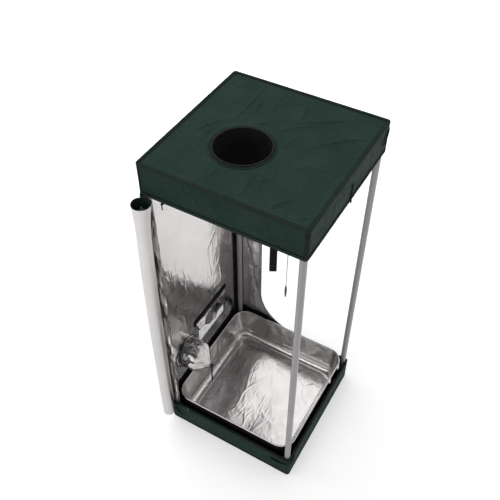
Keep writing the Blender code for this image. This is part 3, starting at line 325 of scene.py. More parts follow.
GREEN = canvas("green_canvas_cloth", (0.0175, 0.0365, 0.0300), (0.0300, 0.0525, 0.0445))
# The canvas's back faces, in a darker copy of the green: painted shade, as inside tucks and on folded-over flaps.
SHADED_GREEN_BACK = canvas("green_canvas_back_shaded", (0.012, 0.026, 0.021), (0.016, 0.031, 0.026))
RIM = webbing("port_rim_tape", (0.036, 0.036, 0.033))
WELT = canvas("dark_piping_cloth", (0.018, 0.024, 0.020), (0.027, 0.034, 0.029))
DARK = canvas("black_floor_cloth", (0.008, 0.008, 0.009), (0.013, 0.013, 0.014))
DUCT = canvas("black_duct_cloth", (0.012, 0.012, 0.012), (0.021, 0.021, 0.021))
TAPE = webbing("black_binding", (0.0080, 0.0092, 0.0085))
WEBBING = webbing("black_webbing", (0.010, 0.010, 0.011), 0.0014)
THREAD = webbing("black_thread", (0.013, 0.014, 0.014), 0.0006)
PALE_THREAD = webbing("grey_thread", (0.32, 0.31, 0.31), 0.0006)
# The same silver film is lighter on the back strip, as painted light, and darker on the door roll and the loose
# pieces, as painted shade.
FOIL = foil("silver_wall_film", (0.610, 0.590, 0.585), 0.11, 0.20, 0.62, (1, 0.40, 1), 0.28, True)
TRAY_FOIL = foil("silver_tray_film", (0.735, 0.717, 0.711), 0.17, 0.26, 0.75, (1, 0.5, 1), math.radians(40), True)
LIT_BACK_FOIL = foil("silver_back_film", (0.900, 0.876, 0.868), 0.26, 0.36, 1.0, (1, 0.6, 1), 0.5, True)
SHADED_ROLL_FOIL = foil("silver_door_film", (0.570, 0.552, 0.547), 0.30, 0.42, 0.3, (1, 0.2, 1))
SHADED_LOOSE_FOIL = foil("silver_loose_film", (0.520, 0.505, 0.500), 0.14, 0.24, 0.9)
STEEL = painted("grey_painted_steel", (0.335, 0.320, 0.328))
PLASTIC = moulded("black_moulded_plastic", (0.018, 0.018, 0.020), 0.45)
METAL = moulded("dark_zip_metal", (0.045, 0.045, 0.050), 0.34, 0.85)
COIL = moulded("black_zip_coil", (0.014, 0.014, 0.015), 0.42)
NET = webbing("white_net_yarn", (0.72, 0.72, 0.73), 0.0006, 0.7)
CORD = webbing("grey_cord_braid", (0.36, 0.36, 0.37), 0.0012, 0.8)


# Meshes

def quads(rows, columns, round_columns=False, round_rows=False):
    """Faces of a grid of points, whose rows follow each other."""
    v, u = np.meshgrid(
        np.arange(rows if round_rows else rows - 1),
        np.arange(columns if round_columns else columns - 1),
        indexing="ij",
    )
    w, x = (v + 1) % rows, (u + 1) % columns
    return xyz(v * columns + u, v * columns + x, w * columns + x, w * columns + u).reshape(-1, 4)


def facing(points, faces):
    """Unit normals of points, in the points' own layout."""
    flat = points.reshape(-1, 3)
    across = np.cross(flat[faces[:, 2]] - flat[faces[:, 0]], flat[faces[:, 3]] - flat[faces[:, 1]])
    total = np.zeros_like(flat)
    for corner in range(4):
        np.add.at(total, faces[:, corner], across)
    return (total / np.maximum(np.linalg.norm(total, axis=1, keepdims=True), 1e-12)).reshape(points.shape)


def put(name, points, faces, skins, node=None, body="tent", cloth=None, index=None, sharp=50):
    """Make a mesh object that rides on a body. cloth holds the points' places on the flat cloth."""
    mesh = bpy.data.meshes.new(name)
    mesh.from_pydata(points.tolist(), [], faces if isinstance(faces, list) else faces.tolist())
    for skin in skins:
        mesh.materials.append(skin)
    if index is not None:
        mesh.polygons.foreach_set("material_index", np.asarray(index, np.int32))
    if cloth is not None:
        flat = np.zeros((len(cloth), 3), np.float32)
        flat[:, :2] = cloth
        mesh.attributes.new("cloth", "FLOAT_VECTOR", "POINT").data.foreach_set("vector", flat.ravel())
    mesh.validate()
    mesh.shade_smooth()
    mesh.set_sharp_from_angle(angle=math.radians(sharp))
    obj = bpy.data.objects.new(name, mesh)
    bpy.context.scene.collection.objects.link(obj)
    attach(obj, body)
    if node:
        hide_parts(node)
    return obj


def shell(name, points, faces, cloth, thick, skins, slot, node=None, body="tent", rim=0, sharp=50):
    """Cloth of one thickness: a front skin, a back skin and an edge, of skin rim, round every border."""
    points, cloth = points.reshape(-1, 3), cloth.reshape(-1, 2)
    used, faces = np.unique(faces, return_inverse=True)
    faces = faces.reshape(-1, 4)
    points, cloth = points[used], cloth[used]
    half = facing(points, faces) * thick / 2
    count = len(points)
    starts, ends = faces.reshape(-1), np.roll(faces, -1, 1).reshape(-1)
    border = ~np.isin(ends * count + starts, starts * count + ends)
    a, b = starts[border], ends[border]
    edge = xyz(b, a, a + count, b + count)
    return put(
        name,
        np.concatenate([points + half, points - half]),
        np.concatenate([faces, faces[:, ::-1] + count, edge]),
        skins if isinstance(skins, list) else [skins, skins],
        node, body,
        np.concatenate([cloth, cloth]),
        np.repeat([0, 1, rim], [len(faces), len(faces), len(edge)]),
        sharp,
    )


def drape(name, points, cloth, thick, skins, slot, node=None, flip=False, closed=False, **rest):
    """Cloth over a whole grid of points, closed round its columns or open."""
    faces = quads(*points.shape[:2], closed)
    return shell(name, points, faces[:, ::-1] if flip else faces, cloth, thick, skins, slot, node, **rest)


def open_hole(u, v, faces, centre, radius):
    """Drop the faces inside a round hole and pull the points round it onto its edge."""
    du, dv = u - centre[0], v - centre[1]
    reach = np.hypot(du, dv)
    inside = reach < radius - 1e-6
    kept = faces[~inside[faces].all(1)]
    moved = inside & np.isin(np.arange(len(u)), kept)
    scale = np.where(moved, radius / np.maximum(reach, 1e-6), 1)
    return centre[0] + du * scale, centre[1] + dv * scale, kept


def rod(name, line, radii, sides, finish, node=None, body="tent", up=(0, 0, 1), closed=False):
    """A solid round bar along a line, with one ring of points at each of the line's points."""
    rows = len(line)
    run = np.roll(line, -1, 0) - np.roll(line, 1, 0) if closed else np.gradient(line, axis=0)
    run /= np.linalg.norm(run, axis=1, keepdims=True)
    side = np.cross(run, up)
    side /= np.linalg.norm(side, axis=1, keepdims=True)
    top = np.cross(side, run)
    angles = circle(sides)[:, None]
    ring = np.cos(angles) * side[:, None] + np.sin(angles) * top[:, None]
    points = line[:, None] + ring * np.broadcast_to(radii, rows)[:, None, None]
    faces = quads(rows, sides, True, closed)[:, ::-1].tolist()
    if not closed:
        faces += [list(range(sides)), list(range((rows - 1) * sides, rows * sides))[::-1]]
    v, u = np.meshgrid(distances(line), circle(sides) * np.max(radii), indexing="ij")
    return put(name, points.reshape(-1, 3), faces, [finish], node, body, xyz(u, v).reshape(-1, 2))


def bead(length, width, height, taper=0.35):
    """A small rounded bar: its points and faces, for repeat."""
    points = [
        (place * length, y * width / 2 * size, z * height / 2 * size)
        for place, size in ((-0.5, taper), (-0.28, 1), (0.28, 1), (0.5, taper))
        for y, z in ((-1, -0.4), (-0.6, 1), (0.6, 1), (1, -0.4))
    ]
    return np.array(points), np.concatenate([quads(4, 4, True)[:, ::-1], [(0, 1, 2, 3), (15, 14, 13, 12)]])


def repeat(name, part, origins, along, up, finish, body="tent"):
    """Copies of one small part, its length along one direction and its top up another."""
    part, faces = part
    origins = np.asarray(origins, float)
    along, up = (np.broadcast_to(np.asarray(way, float), origins.shape) for way in (along, up))
    points = origins[:, None] + part @ np.stack([along, np.cross(up, along), up], 1)
    shift = np.arange(len(origins))[:, None, None] * len(part)
    return put(name, points.reshape(-1, 3), (faces + shift).reshape(-1, 4), [finish], body=body)


def walk(line, pitch, closed=False):
    """Places at one spacing along a line, with the line's direction at each."""
    if closed:
        line = np.concatenate([line, line[:1]])
    run = np.diff(line, axis=0)
    step = np.linalg.norm(run, axis=1)
    reach = distances(line)
    count = int(reach[-1] / pitch)
    at = (np.arange(count) + 0.5) * reach[-1] / count
    index = np.clip(np.searchsorted(reach, at) - 1, 0, len(step) - 1)
    share = (at - reach[index]) / step[index]
    return line[index] + run[index] * share[:, None], run[index] / step[index][:, None], index


def seam(name, line, normals, finish=THREAD, body="tent", pitch=0.0036, closed=False):
    """A row of stitches along a line."""
    places, along, index = walk(line, pitch, closed)
    up = np.broadcast_to(np.asarray(normals, float), line.shape)[index % len(line)]
    up = up - along * (up * along).sum(1, keepdims=True)
    up = up / np.linalg.norm(up, axis=1, keepdims=True)
    return repeat(name, bead(pitch * 0.72, 0.0007, 0.0005), places, along, up, finish, body=body)


def rounded(half, radius, step):
    """Plan line round a square: points, outward directions and distances, anticlockwise from the right."""
    flat = half - radius
    bend = np.linspace(0, 1, max(5, int(radius * math.pi / 2 / step)))
    count = int(2 * flat / step)
    turn = np.concatenate([bend, np.ones(count - 1)])
    share = np.concatenate([bend * 0, np.arange(1, count) / count])[:, None]
    corners = np.array([(1, 1), (-1, 1), (-1, -1), (1, -1)]) * flat
    centres = np.concatenate([a + (b - a) * share for a, b in zip(corners, np.roll(corners, -1, 0))])
    angles = np.concatenate([math.pi / 2 * (quarter + turn) for quarter in range(4)])
    out = xyz(np.cos(angles), np.sin(angles))
    points = centres + out * radius
    return *points.T, *out.T, distances(points)


# Roof

ROOF_FOLDS = [
    (0.130, 0.037, 0.280, 0.180, 0.0022, 0.0060), (0.167, 0.060, 0.290, 0.097, -0.0018, 0.0055),
    (0.040, 0.137, 0.177, 0.233, 0.0017, 0.0050), (0.003, 0.070, 0.103, 0.150, 0.0016, 0.0050),
    (-0.113, 0.040, -0.043, 0.100, 0.0014, 0.0045), (-0.117, 0.220, -0.113, 0.100, 0.0013, 0.0045),
    (-0.163, 0.280, -0.163, 0.040, 0.0013, 0.0050), (-0.233, -0.060, -0.173, 0.053, 0.0015, 0.0050),
    (-0.193, -0.013, -0.187, -0.113, 0.0012, 0.0045), (0.060, 0.060, 0.053, -0.033, 0.0013, 0.0045),
    (0.047, -0.167, 0.060, -0.273, 0.0015, 0.0045), (0.053, -0.197, 0.097, -0.143, 0.0012, 0.0040),
    (0.153, -0.277, 0.197, -0.200, 0.0015, 0.0045), (0.220, -0.280, 0.287, -0.233, 0.0014, 0.0040),
    (-0.077, -0.173, -0.070, -0.253, 0.0013, 0.0040), (0.013, 0.260, 0.040, 0.140, 0.0010, 0.0050),
    (-0.250, 0.180, -0.227, 0.267, 0.0009, 0.0050), (-0.080, 0.187, 0.007, 0.247, 0.0010, 0.0050),
    (0.127, -0.100, 0.180, -0.033, 0.0010, 0.0050), (-0.163, -0.127, -0.153, -0.180, 0.0010, 0.0045),
]
RIDGE_GAIN, GROOVE_GAIN = 3.8, 1.6


def port_circle(reach, angles, height):
    """Points round the roof's port, at heights above the roof."""
    return xyz(PORT[0] + reach * np.cos(angles), PORT[1] + reach * np.sin(angles), TOP + height)


def roof():
    """The roof's cloth, and the bound ring round its port."""
    span = lines((-0.2985, 0.2985), 0.0030)
    x, y = (axis.reshape(-1) for axis in np.meshgrid(span, span))
    x, y, faces = open_hole(x, y, quads(len(span), len(span)), PORT, PORT_RADIUS)
    free = ease(0.290 - np.maximum(abs(x), abs(y)), 0, 0.030)
    free *= ease(np.hypot(x - PORT[0], y - PORT[1]), 0.111, 0.140)
    folds = [
        (*ends, height * (RIDGE_GAIN if height > 0 else GROOVE_GAIN), width) for *ends, height, width in ROOF_FOLDS
    ]
    rise = creases(x, y, folds) + ripple(x, y, 0.075, 3) * 0.0014 + ripple(x, y, 0.030, 5) * 0.0005
    rise += crumple(x, y, 0.055, 9, 5) * 0.0010 - 0.0020
    cloth = shell("roof_cloth", xyz(x, y, TOP - 0.00055 + rise * free), faces, xyz(x, y), LIGHT, [GREEN, FOIL],
                  "green_canvas", "roof_panel")

    profile = np.array([
        (0.1098, 0.0006), (0.1098, 0.0018), (0.1080, 0.0023), (0.1050, 0.0022), (0.1030, 0.0026), (0.1010, 0.0040),
        (0.0990, 0.0050), (0.0972, 0.0049), (0.0960, 0.0038), (0.0957, 0.0018), (0.0962, 0.0002),
    ])
    covered = 4
    angles = circle(160)
    arc = angles * 0.105
    grid = port_circle(profile[:, :1] + ripple(arc, 0, 0.018, 21) * 0.0004, angles, profile[:, 1:])
    u, v = np.meshgrid(arc, np.arange(len(profile)) * 0.0015)
    put("port_flange", grid.reshape(-1, 3), quads(*grid.shape[:2], True, True)[:, ::-1], [GREEN, TAPE],
        "port_ring", cloth=xyz(u, v).reshape(-1, 2), index=np.repeat(np.arange(len(profile)) >= covered, len(angles)))
    for name, reach, height, radius, finish in (
        ("port_edge_piping", 0.0978, 0.0044, 0.0021, RIM), ("port_rim_line", 0.1060, 0.0017, 0.0011, TAPE),
    ):
        rod(name, port_circle(reach, angles, height), radius, 10, finish, closed=True)
    for number, reach in enumerate((0.1087, 0.1052)):
        seam(f"port_stitches_{number + 1}", port_circle(reach, angles, 0.0023), (0, 0, 1), closed=True)


def port_sleeve():
    """The duct sleeve under the roof's hole, slack towards its drawn hem."""
    length, hem_row = 0.245, 31
    angles = circle(220)
    a, s = np.meshgrid(angles, np.concatenate([np.linspace(0, 0.88, 30), [0.905, 0.92, 0.935, 0.955, 0.98, 1.0]]))
    radius = 0.0968 - 0.0089 * np.minimum(s / 0.92, 1)
    slack = ease(s, 0.05, 0.75)
    radius += (np.cos(a * 11 + 2 * np.sin(a * 2)) * 0.0020 + ripple(a * 0.1, s * length, 0.022, 31) * 0.0016) * slack
    radius += crumple(a * 0.1, s * length, 0.03, 32) * 0.0010 * slack
    radius += ease(s, 0.905, 0.93) * (1 - 0.4 * ease(s, 0.97, 1.0)) * (0.0010 + np.cos(a * 46) * 0.0005)
    points = port_circle(radius, a, 0.0012 - length * s + np.sin(a * 2 + 1) * 0.0015 * ease(s, 0.5, 1))
    sleeve = drape("port_duct_sleeve", points, xyz(a * 0.095, length * s), LIGHT, DUCT, "black_tape", "port_sleeve",
                   True, True)
    out = xyz(np.cos(angles), np.sin(angles), 0)
    seam("sleeve_hem_stitches", points[hem_row] - out * 0.0007, -out, closed=True)


# Bands round the cap and the base

CAP_FOLDS = [
    (1.09, 1.390, 1.075, 1.485, 0.0010, 0.006), (0.32, 1.385, 0.29, 1.490, 0.0008, 0.006),
    (2.23, 1.385, 2.29, 1.480, 0.0009, 0.006), (2.345, 1.388, 2.352, 1.49, -0.0010, 0.005),
    (1.86, 1.40, 1.93, 1.49, 0.0006, 0.007), (1.50, 1.39, 1.53, 1.48, 0.0006, 0.007),
]
BASE_FOLDS = [
    (1.69, 0.080, 1.79, 0.075, -0.0060, 0.003), (1.70, 0.090, 1.79, 0.084, 0.0050, 0.004),
    (1.23, 0.095, 1.30, 0.060, -0.0030, 0.004), (1.22, 0.070, 1.27, 0.030, 0.0030, 0.004),
    (1.86, 0.010, 1.90, 0.115, 0.0012, 0.006), (2.33, 0.012, 2.30, 0.080, 0.0014, 0.006),
    (2.26, 0.010, 2.20, 0.060, -0.0010, 0.006), (0.10, 0.015, 0.16, 0.110, 0.0011, 0.006),
    (1.30, 0.012, 1.34, 0.110, 0.0009, 0.006), (0.75, 0.012, 0.71, 0.110, 0.0010, 0.006),
    (2.05, 0.015, 2.02, 0.105, 0.0008, 0.008),
]


def skirt(name, node, low, high, folds, loose, seed, lining):
    """A band of cloth round all four sides, slack between its bound edges."""
    x, y, nx, ny, along = rounded(HALF - 0.0008, CORNER - 0.0008, 0.005)
    u, z = np.meshgrid(along, lines((low, high), 0.0055))
    inner = ease(z, low + 0.004, low + 0.03) * ease(high - z, 0.004, 0.03)
    away = 1 - 0.75 * ease(abs(x) + abs(y), 0.545, 0.59)
    out = (ripple(u, z, 0.085, seed) * 0.0013 + ripple(u * 1.6, z, 0.035, seed + 1) * 0.0006) * loose
    out += creases(u, z, folds) + crumple(u, z, 0.06, seed + 2, 5) * 0.0006 * loose
    out = np.clip(out * inner * away, -0.0022, 0.0024)
    made = drape(name, xyz(x + nx * out, y + ny * out, z), xyz(u, z), CANVAS, [GREEN, lining], "green_canvas", node,
                 closed=True)


def edge_tape(name, section, seed, stitched=(1, 3), shade_rows=(), node=None):
    """Binding round all four sides. section is (offset, height) from edge to edge."""
    x, y, nx, ny, along = rounded(HALF, CORNER, 0.006)
    section = np.array(section)
    u, v = np.meshgrid(along, distances(section))
    off = section[:, :1] + ripple(u, v, 0.016, seed) * 0.00022
    z = section[:, 1:] + ripple(u, v, 0.021, seed + 1) * 0.00022
    reach = np.maximum(off, -0.0095)
    x, y = (
        axis + way * reach + np.sign(axis) * (off - reach) * (abs(axis) > HALF - CORNER - 1e-6)
        for axis, way in ((x, nx), (y, ny))
    )
    points = xyz(x, y, z)
    drape(name, points, xyz(u, v), CANVAS, GREEN, "black_tape", node, closed=True)
    normals = facing(points, quads(*z.shape, True))
    for number, row in enumerate(stitched):
        seam(f"{name}_stitches_{number + 1}", points[row] + normals[row] * 0.0006, normals[row], closed=True)
    # Black cords along these rows: painted shade of the gaps along the binding's edges.
    for number, row in enumerate(shade_rows):
        rod(f"{name}_shade_line_{number + 1}", points[row] + normals[row] * 0.0002, 0.0011, 8, TAPE,
            closed=True)


def flat_section(low, *rises):
    """A flat binding's section, a little proud along its two stitched lines."""
    return [(offset, low + rise) for offset, rise in zip((0.0008, 0.0010, 0.0008, 0.0010, 0.0008), rises)]


def corner_tapes(name, low, high, finish):
    """Binding up the four corners of a band."""
    proud = 0.0008
    angles = np.linspace(0, math.pi / 2, 5)
    section = np.array([
        (proud, -CORNER - 0.0006), (proud, -CORNER - 0.0001),
        *(xyz(np.cos(angles), np.sin(angles)) * (CORNER + proud) - CORNER),
        (-CORNER - 0.0001, proud), (-CORNER - 0.0006, proud),
    ])
    v, z = np.meshgrid(distances(section), lines((low, high), 0.006))
    for number, (side_x, side_y) in enumerate(((1, -1), (1, 1), (-1, 1), (-1, -1))):
        off = ripple(v, z + number, 0.014, 61) * 0.00025
        points = xyz(side_x * (HALF + section[:, 0] + off), side_y * (HALF + section[:, 1] + off), z)
        faces = quads(*z.shape)[:, ::side_x * side_y]
        shell(f"{name}_{number + 1}", points, faces, xyz(v, z), LIGHT, finish, "black_tape")
        normals = facing(points, faces)
        for count, side in enumerate((1, -2)):
            seam(f"{name}_{number + 1}_stitches_{count + 1}", points[:, side] + normals[:, side] * 0.0006,
                 normals[:, side])


def tuck(name, start, end, out, drop, proud):
    """A fold in a band: cloth that lies on it along its foot and ends, and gapes along its sagging top."""
    start, end, out = np.array(start), np.array(end), np.array(out, float)
    share, down = np.meshgrid(np.linspace(0, 1, 40), np.linspace(0, 1, 12))
    swell = np.sin(math.pi * share) ** 0.7
    gape = 0.0004 + proud * swell * (1 - down) ** 1.5
    points = start + (end - start) * share[..., None] + out * gape[..., None]
    points[..., 2] -= drop * swell * (0.25 + down)
    # The pocket's inside takes the darker back canvas, as painted shade along the gaping top.
    drape(name, points, xyz(share * np.linalg.norm(end - start), down * drop), LIGHT, [GREEN, SHADED_GREEN_BACK],
          "green_canvas", flip=np.cross(end - start, (0, 0, -1)) @ out < 0)


def cap_and_base():
    """The two bands with their tucks and bindings, and the floor cloth."""
    tuck("base_tuck_front", (0.205, -0.3006, 0.080), (0.2985, -0.3006, 0.094), (0, -1, 0), 0.022, 0.0068)
    tuck("base_tuck_left", (-0.292, -0.3006, 0.088), (-0.236, -0.3006, 0.040), (0, -1, 0), 0.016, 0.0050)
    tuck("base_tuck_right", (0.3006, -0.2985, 0.094), (0.3006, -0.245, 0.108), (1, 0, 0), 0.014, 0.0045)
    skirt("cap_skirt", "cap_band", CAP_LOW, CAP_HIGH, CAP_FOLDS, 0.7, 11, FOIL)
    # The base band's black inner face is partly painted shade of the gap between the band and the tray.
    skirt("base_skirt", "base_band", BASE_LOW, BASE_HIGH, BASE_FOLDS, 1.0, 15, DARK)
    tuck("cap_tuck_right", (0.3006, 0.2975, 1.478), (0.3006, 0.252, 1.424), (1, 0, 0), 0.012, 0.0045)
    top = TOP + 0.0009
    edge_tape("roof_edge_tape", [
        (0.0009, top - 0.0070), (0.0010, top - 0.0064), (0.0009, top - 0.0040), (0.0010, top - 0.0016),
        (0.0003, top - 0.0003), (-0.0015, top), (-0.005, top), (-0.0086, top + 0.0002), (-0.0092, top),
    ], 51, (1, 7), (8,), "cap_binding")
    x, y, _, _, along = rounded(HALF - 0.0014, CORNER - 0.0014, 0.006)
    rod("roof_edge_piping", xyz(x, y, TOP + 0.0012 + ripple(along, 0, 0.02, 59) * 0.0002), 0.0031, 12, WELT,
        closed=True)
    edge_tape("cap_foot_tape", flat_section(CAP_LOW, 0, 0.0008, 0.0055, 0.0102, 0.0110), 53, shade_rows=(0, 4))
    corner_tapes("cap_corner_tape", CAP_LOW + 0.010, CAP_HIGH - 0.010, WELT)
    edge_tape("base_foot_tape", flat_section(0, 0.0004, 0.0010, 0.0030, 0.0058, 0.0064), 55, node="base_binding")
    edge_tape("base_head_tape", flat_section(BASE_HIGH, -0.0112, -0.0104, -0.0055, -0.0008, 0), 57, shade_rows=(0, 4))
    corner_tapes("base_corner_tape", 0.0105, BASE_HIGH - 0.010, GREEN)
    span = lines((-0.2975, 0.2975), 0.009)
    x, y = np.meshgrid(span, span)
    floor = drape("floor_cloth", xyz(x, y, 0.0009 + ripple(x, y, 0.05, 71) * 0.0002), xyz(x, y), CANVAS, DARK,
                  "black_tape", "floor_panel")


ZIP_TOOTH, ZIP_PITCH = bead(0.0017, 0.0026, 0.0016, 0.6), 0.0024


def zips():
    """Zip tapes along the cap and the base, from the rolled door round to the back, each with its coils."""
    plan = np.array(rounded(HALF - 0.0024, CORNER - 0.0024, 0.006)[:4])
    plan = plan[:, np.argsort((np.arctan2(plan[1], plan[0]) + math.radians(135)) % TAU)]
    for level, low, high, edge, end_x in (
        ("cap", CAP_LOW - 0.006, CAP_LOW + 0.012, CAP_LOW - 0.0058, -0.174),
        ("base", BASE_HIGH - 0.012, BASE_HIGH + 0.006, BASE_HIGH + 0.0058, 0.026),
    ):
        x, y = plan[:2]
        x, y, nx, ny = plan[:, (y < 0) & (x > -0.275) | (x > 0.2) | ((y > 0) & (x > end_x))]
        u, z = np.meshgrid(distances(xyz(x, y)), np.linspace(low, high, 6))
        off = ripple(u, z, 0.03, 81) * 0.00012
        drape(f"{level}_zip_cloth", xyz(x + nx * off, y + ny * off, z), xyz(u, z), LIGHT, TAPE, "black_tape",
              f"{level}_zip_tape")
        places, run, index = walk(xyz(x, y, edge), ZIP_PITCH)
        repeat(f"{level}_zip_coil", ZIP_TOOTH, places, run, xyz(nx, ny, 0)[index], COIL)


# Closed walls

WALL_FOLDS = [
    (-0.20, 1.33, -0.11, 0.93, 0.0016, 0.005), (-0.05, 1.36, -0.14, 0.98, 0.0013, 0.005),
    (0.08, 1.36, 0.15, 0.80, 0.0018, 0.006), (0.17, 1.20, 0.12, 0.62, 0.0015, 0.005),
    (-0.24, 0.80, -0.08, 0.55, 0.0016, 0.006), (-0.20, 0.62, -0.11, 0.45, 0.0013, 0.005),
    (0.02, 0.92, 0.10, 0.66, 0.0012, 0.005), (0.21, 0.95, 0.19, 0.50, 0.0013, 0.005),
    (-0.10, 0.72, 0.02, 0.50, 0.0012, 0.005), (-0.25, 1.10, -0.22, 0.70, 0.0010, 0.005),
    (0.20, 0.42, 0.24, 0.22, 0.0012, 0.005), (-0.02, 0.26, 0.12, 0.20, 0.0010, 0.005),
]


def plan_left(step):
    """Plan line up the side wall and round its back corner, with inward directions and distances."""
    y = lines((-WALL_END, WINDOW[0] - 0.012, WINDOW[0], WINDOW[1], WINDOW[1] + 0.012, WALL_END), step)
    turn = np.linspace(math.pi, math.pi / 2, 6)[1:]
    nx, ny = np.concatenate([y * 0 + 1, -np.cos(turn)]), np.concatenate([y * 0, -np.sin(turn)])
    x = np.concatenate([y * 0 - WALL_END - WALL_BEND, WALL_BEND * np.cos(turn) - WALL_END])
    y = np.concatenate([y, WALL_END + WALL_BEND * np.sin(turn)])
    return x, y, nx, ny, distances(xyz(x, y)) - WALL_END


def feature_room(y, z):
    """0 where the vent and the side port are sewn on, 1 well away from them."""
    low_y, high_y, low_z, high_z = WINDOW
    off_y = np.maximum(np.maximum(low_y - 0.028 - y, y - high_y - 0.028), 0)
    off_z = np.maximum(np.maximum(low_z - 0.014 - z, z - high_z - 0.020), 0)
    port = np.hypot(y - SIDE_PORT[0], z - SIDE_PORT[1]) - 0.080
    return ease(np.hypot(off_y, off_z), 0.0, 0.035) * ease(port, 0.0, 0.030)


def side_wall():
    """The closed wall, with the vent's window and the side port's hole."""
    x, y, nx, ny, along = plan_left(0.0058)
    u, z = np.meshgrid(along, lines((WALL_LOW, WINDOW[2], WINDOW[3], WALL_HIGH), 0.0065))
    faces = quads(*z.shape)
    free = ease(0.262 - abs(u + 0.004), 0, 0.03) * ease(z, 0.18, 0.24) * ease(1.395 - z, 0, 0.05) * feature_room(u, z)
    push = creases(u, z, WALL_FOLDS) * 0.45 + ripple(u, z / 2, 0.05, 91) * 0.0004 + ripple(u, z, 0.14, 92) * 0.0010
    push += crumple(u, z / 1.5, 0.06, 93) * 0.0003 + facets(u, z / 2.6, 0.034, 94) * 0.00025
    push *= free
    points = xyz(x + nx * push, y + ny * push, z).reshape(-1, 3)
    u, z = u.reshape(-1), z.reshape(-1)
    mid_u, mid_z = u[faces].mean(1), z[faces].mean(1)
    window = (mid_u > WINDOW[0]) & (mid_u < WINDOW[1]) & (mid_z > WINDOW[2]) & (mid_z < WINDOW[3])
    flat_u, flat_z, faces = open_hole(u, z, faces[~window], SIDE_PORT, SIDE_RADIUS)
    points[flat_u != u, 1] = flat_u[flat_u != u]
    points[:, 2] = flat_z
    wall = shell("side_wall_cloth", points, faces, xyz(flat_u, flat_z), CANVAS, [FOIL, SHADED_GREEN_BACK], "silver_lining",
                 "left_wall", rim=1)


def back_wall():
    """The narrow strip round the back corner, cut in a curve at its foot, and its zip."""
    start_x, cut_x, cut_z, cut = -0.2894, 0.024, 0.338, 0.200
    z = np.concatenate([
        lines((WALL_LOW, cut_z - cut), 0.006)[:-1],
        cut_z - cut * np.cos(np.linspace(0, math.pi / 2, 30)),
        lines((cut_z, WALL_HIGH), 0.0075)[1:],
    ])
    drop = np.clip(cut_z - z, 0, cut)[:, None]
    ends = cut_x - np.sqrt(cut ** 2 - drop ** 2)
    share, z = np.meshgrid(np.linspace(0, 1, 56), z)
    x = start_x + (ends - start_x) * share
    free = ease(x, -0.262, -0.235) * ease(1 - share, 0.04, 0.3) * ease(z, 0.19, 0.25)
    push = ripple(x * 1.6, z / 2, 0.05, 95) * 0.0010 + facets(x, z / 1.2, 0.062, 96) * 0.0058
    push += facets(x, z, 0.027, 97) * 0.0012 + 0.0026 * np.sin(TAU * z / 0.23 + 8 * x + 1.0)
    across = (x + 0.22 * z + ripple(z, x, 0.09, 98) * 0.020) / 0.105 % 1
    push += 0.0095 * np.minimum((1 - across) / 0.85, across / 0.15)
    middle = np.sin(math.pi * np.clip((x + 0.262) / (ends + 0.262), 0, 1))
    push += 0.0045 * middle * (0.75 + 0.25 * np.sin(z * 11))
    y = WALL_END + WALL_BEND - push * free
    strip = drape("back_wall_cloth", xyz(x, y, z), xyz(x, z), CANVAS, [LIT_BACK_FOIL, SHADED_GREEN_BACK], "silver_lining",
                  "back_wall", rim=1)

    angles = np.linspace(math.pi, 1.5 * math.pi, 40)[1:]
    rows = []
    for radius in (0.1962, 0.1995, 0.2030, 0.2070, 0.2095):
        line_x = np.concatenate([np.full(90, cut_x - radius), cut_x + radius * np.cos(angles)])
        line_z = np.concatenate([np.linspace(1.392, cut_z, 90), cut_z + radius * np.sin(angles)])
        rows.append(xyz(line_x, 0.2958, line_z))
    rows = np.array(rows)
    u, v = np.meshgrid(distances(rows[0]), np.arange(len(rows)) * 0.0033)
    rows[:, :, 1] += ripple(u, v, 0.02, 97) * 0.0002
    drape("back_zip_cloth", rows, xyz(u, v), LIGHT, [LIT_BACK_FOIL, TAPE], "black_tape", "back_zip_tape", True)
    places, run, _ = walk((rows[0] + rows[1]) / 2 + (0, 0.0016, 0), ZIP_PITCH)
    repeat("back_zip_coil", ZIP_TOOTH, places, run, (0, 1, 0), COIL)
    for number, row in enumerate((1, 3)):
        seam(f"back_zip_stitches_{number + 1}", rows[row] - (0, 0.0007, 0), (0, -1, 0))


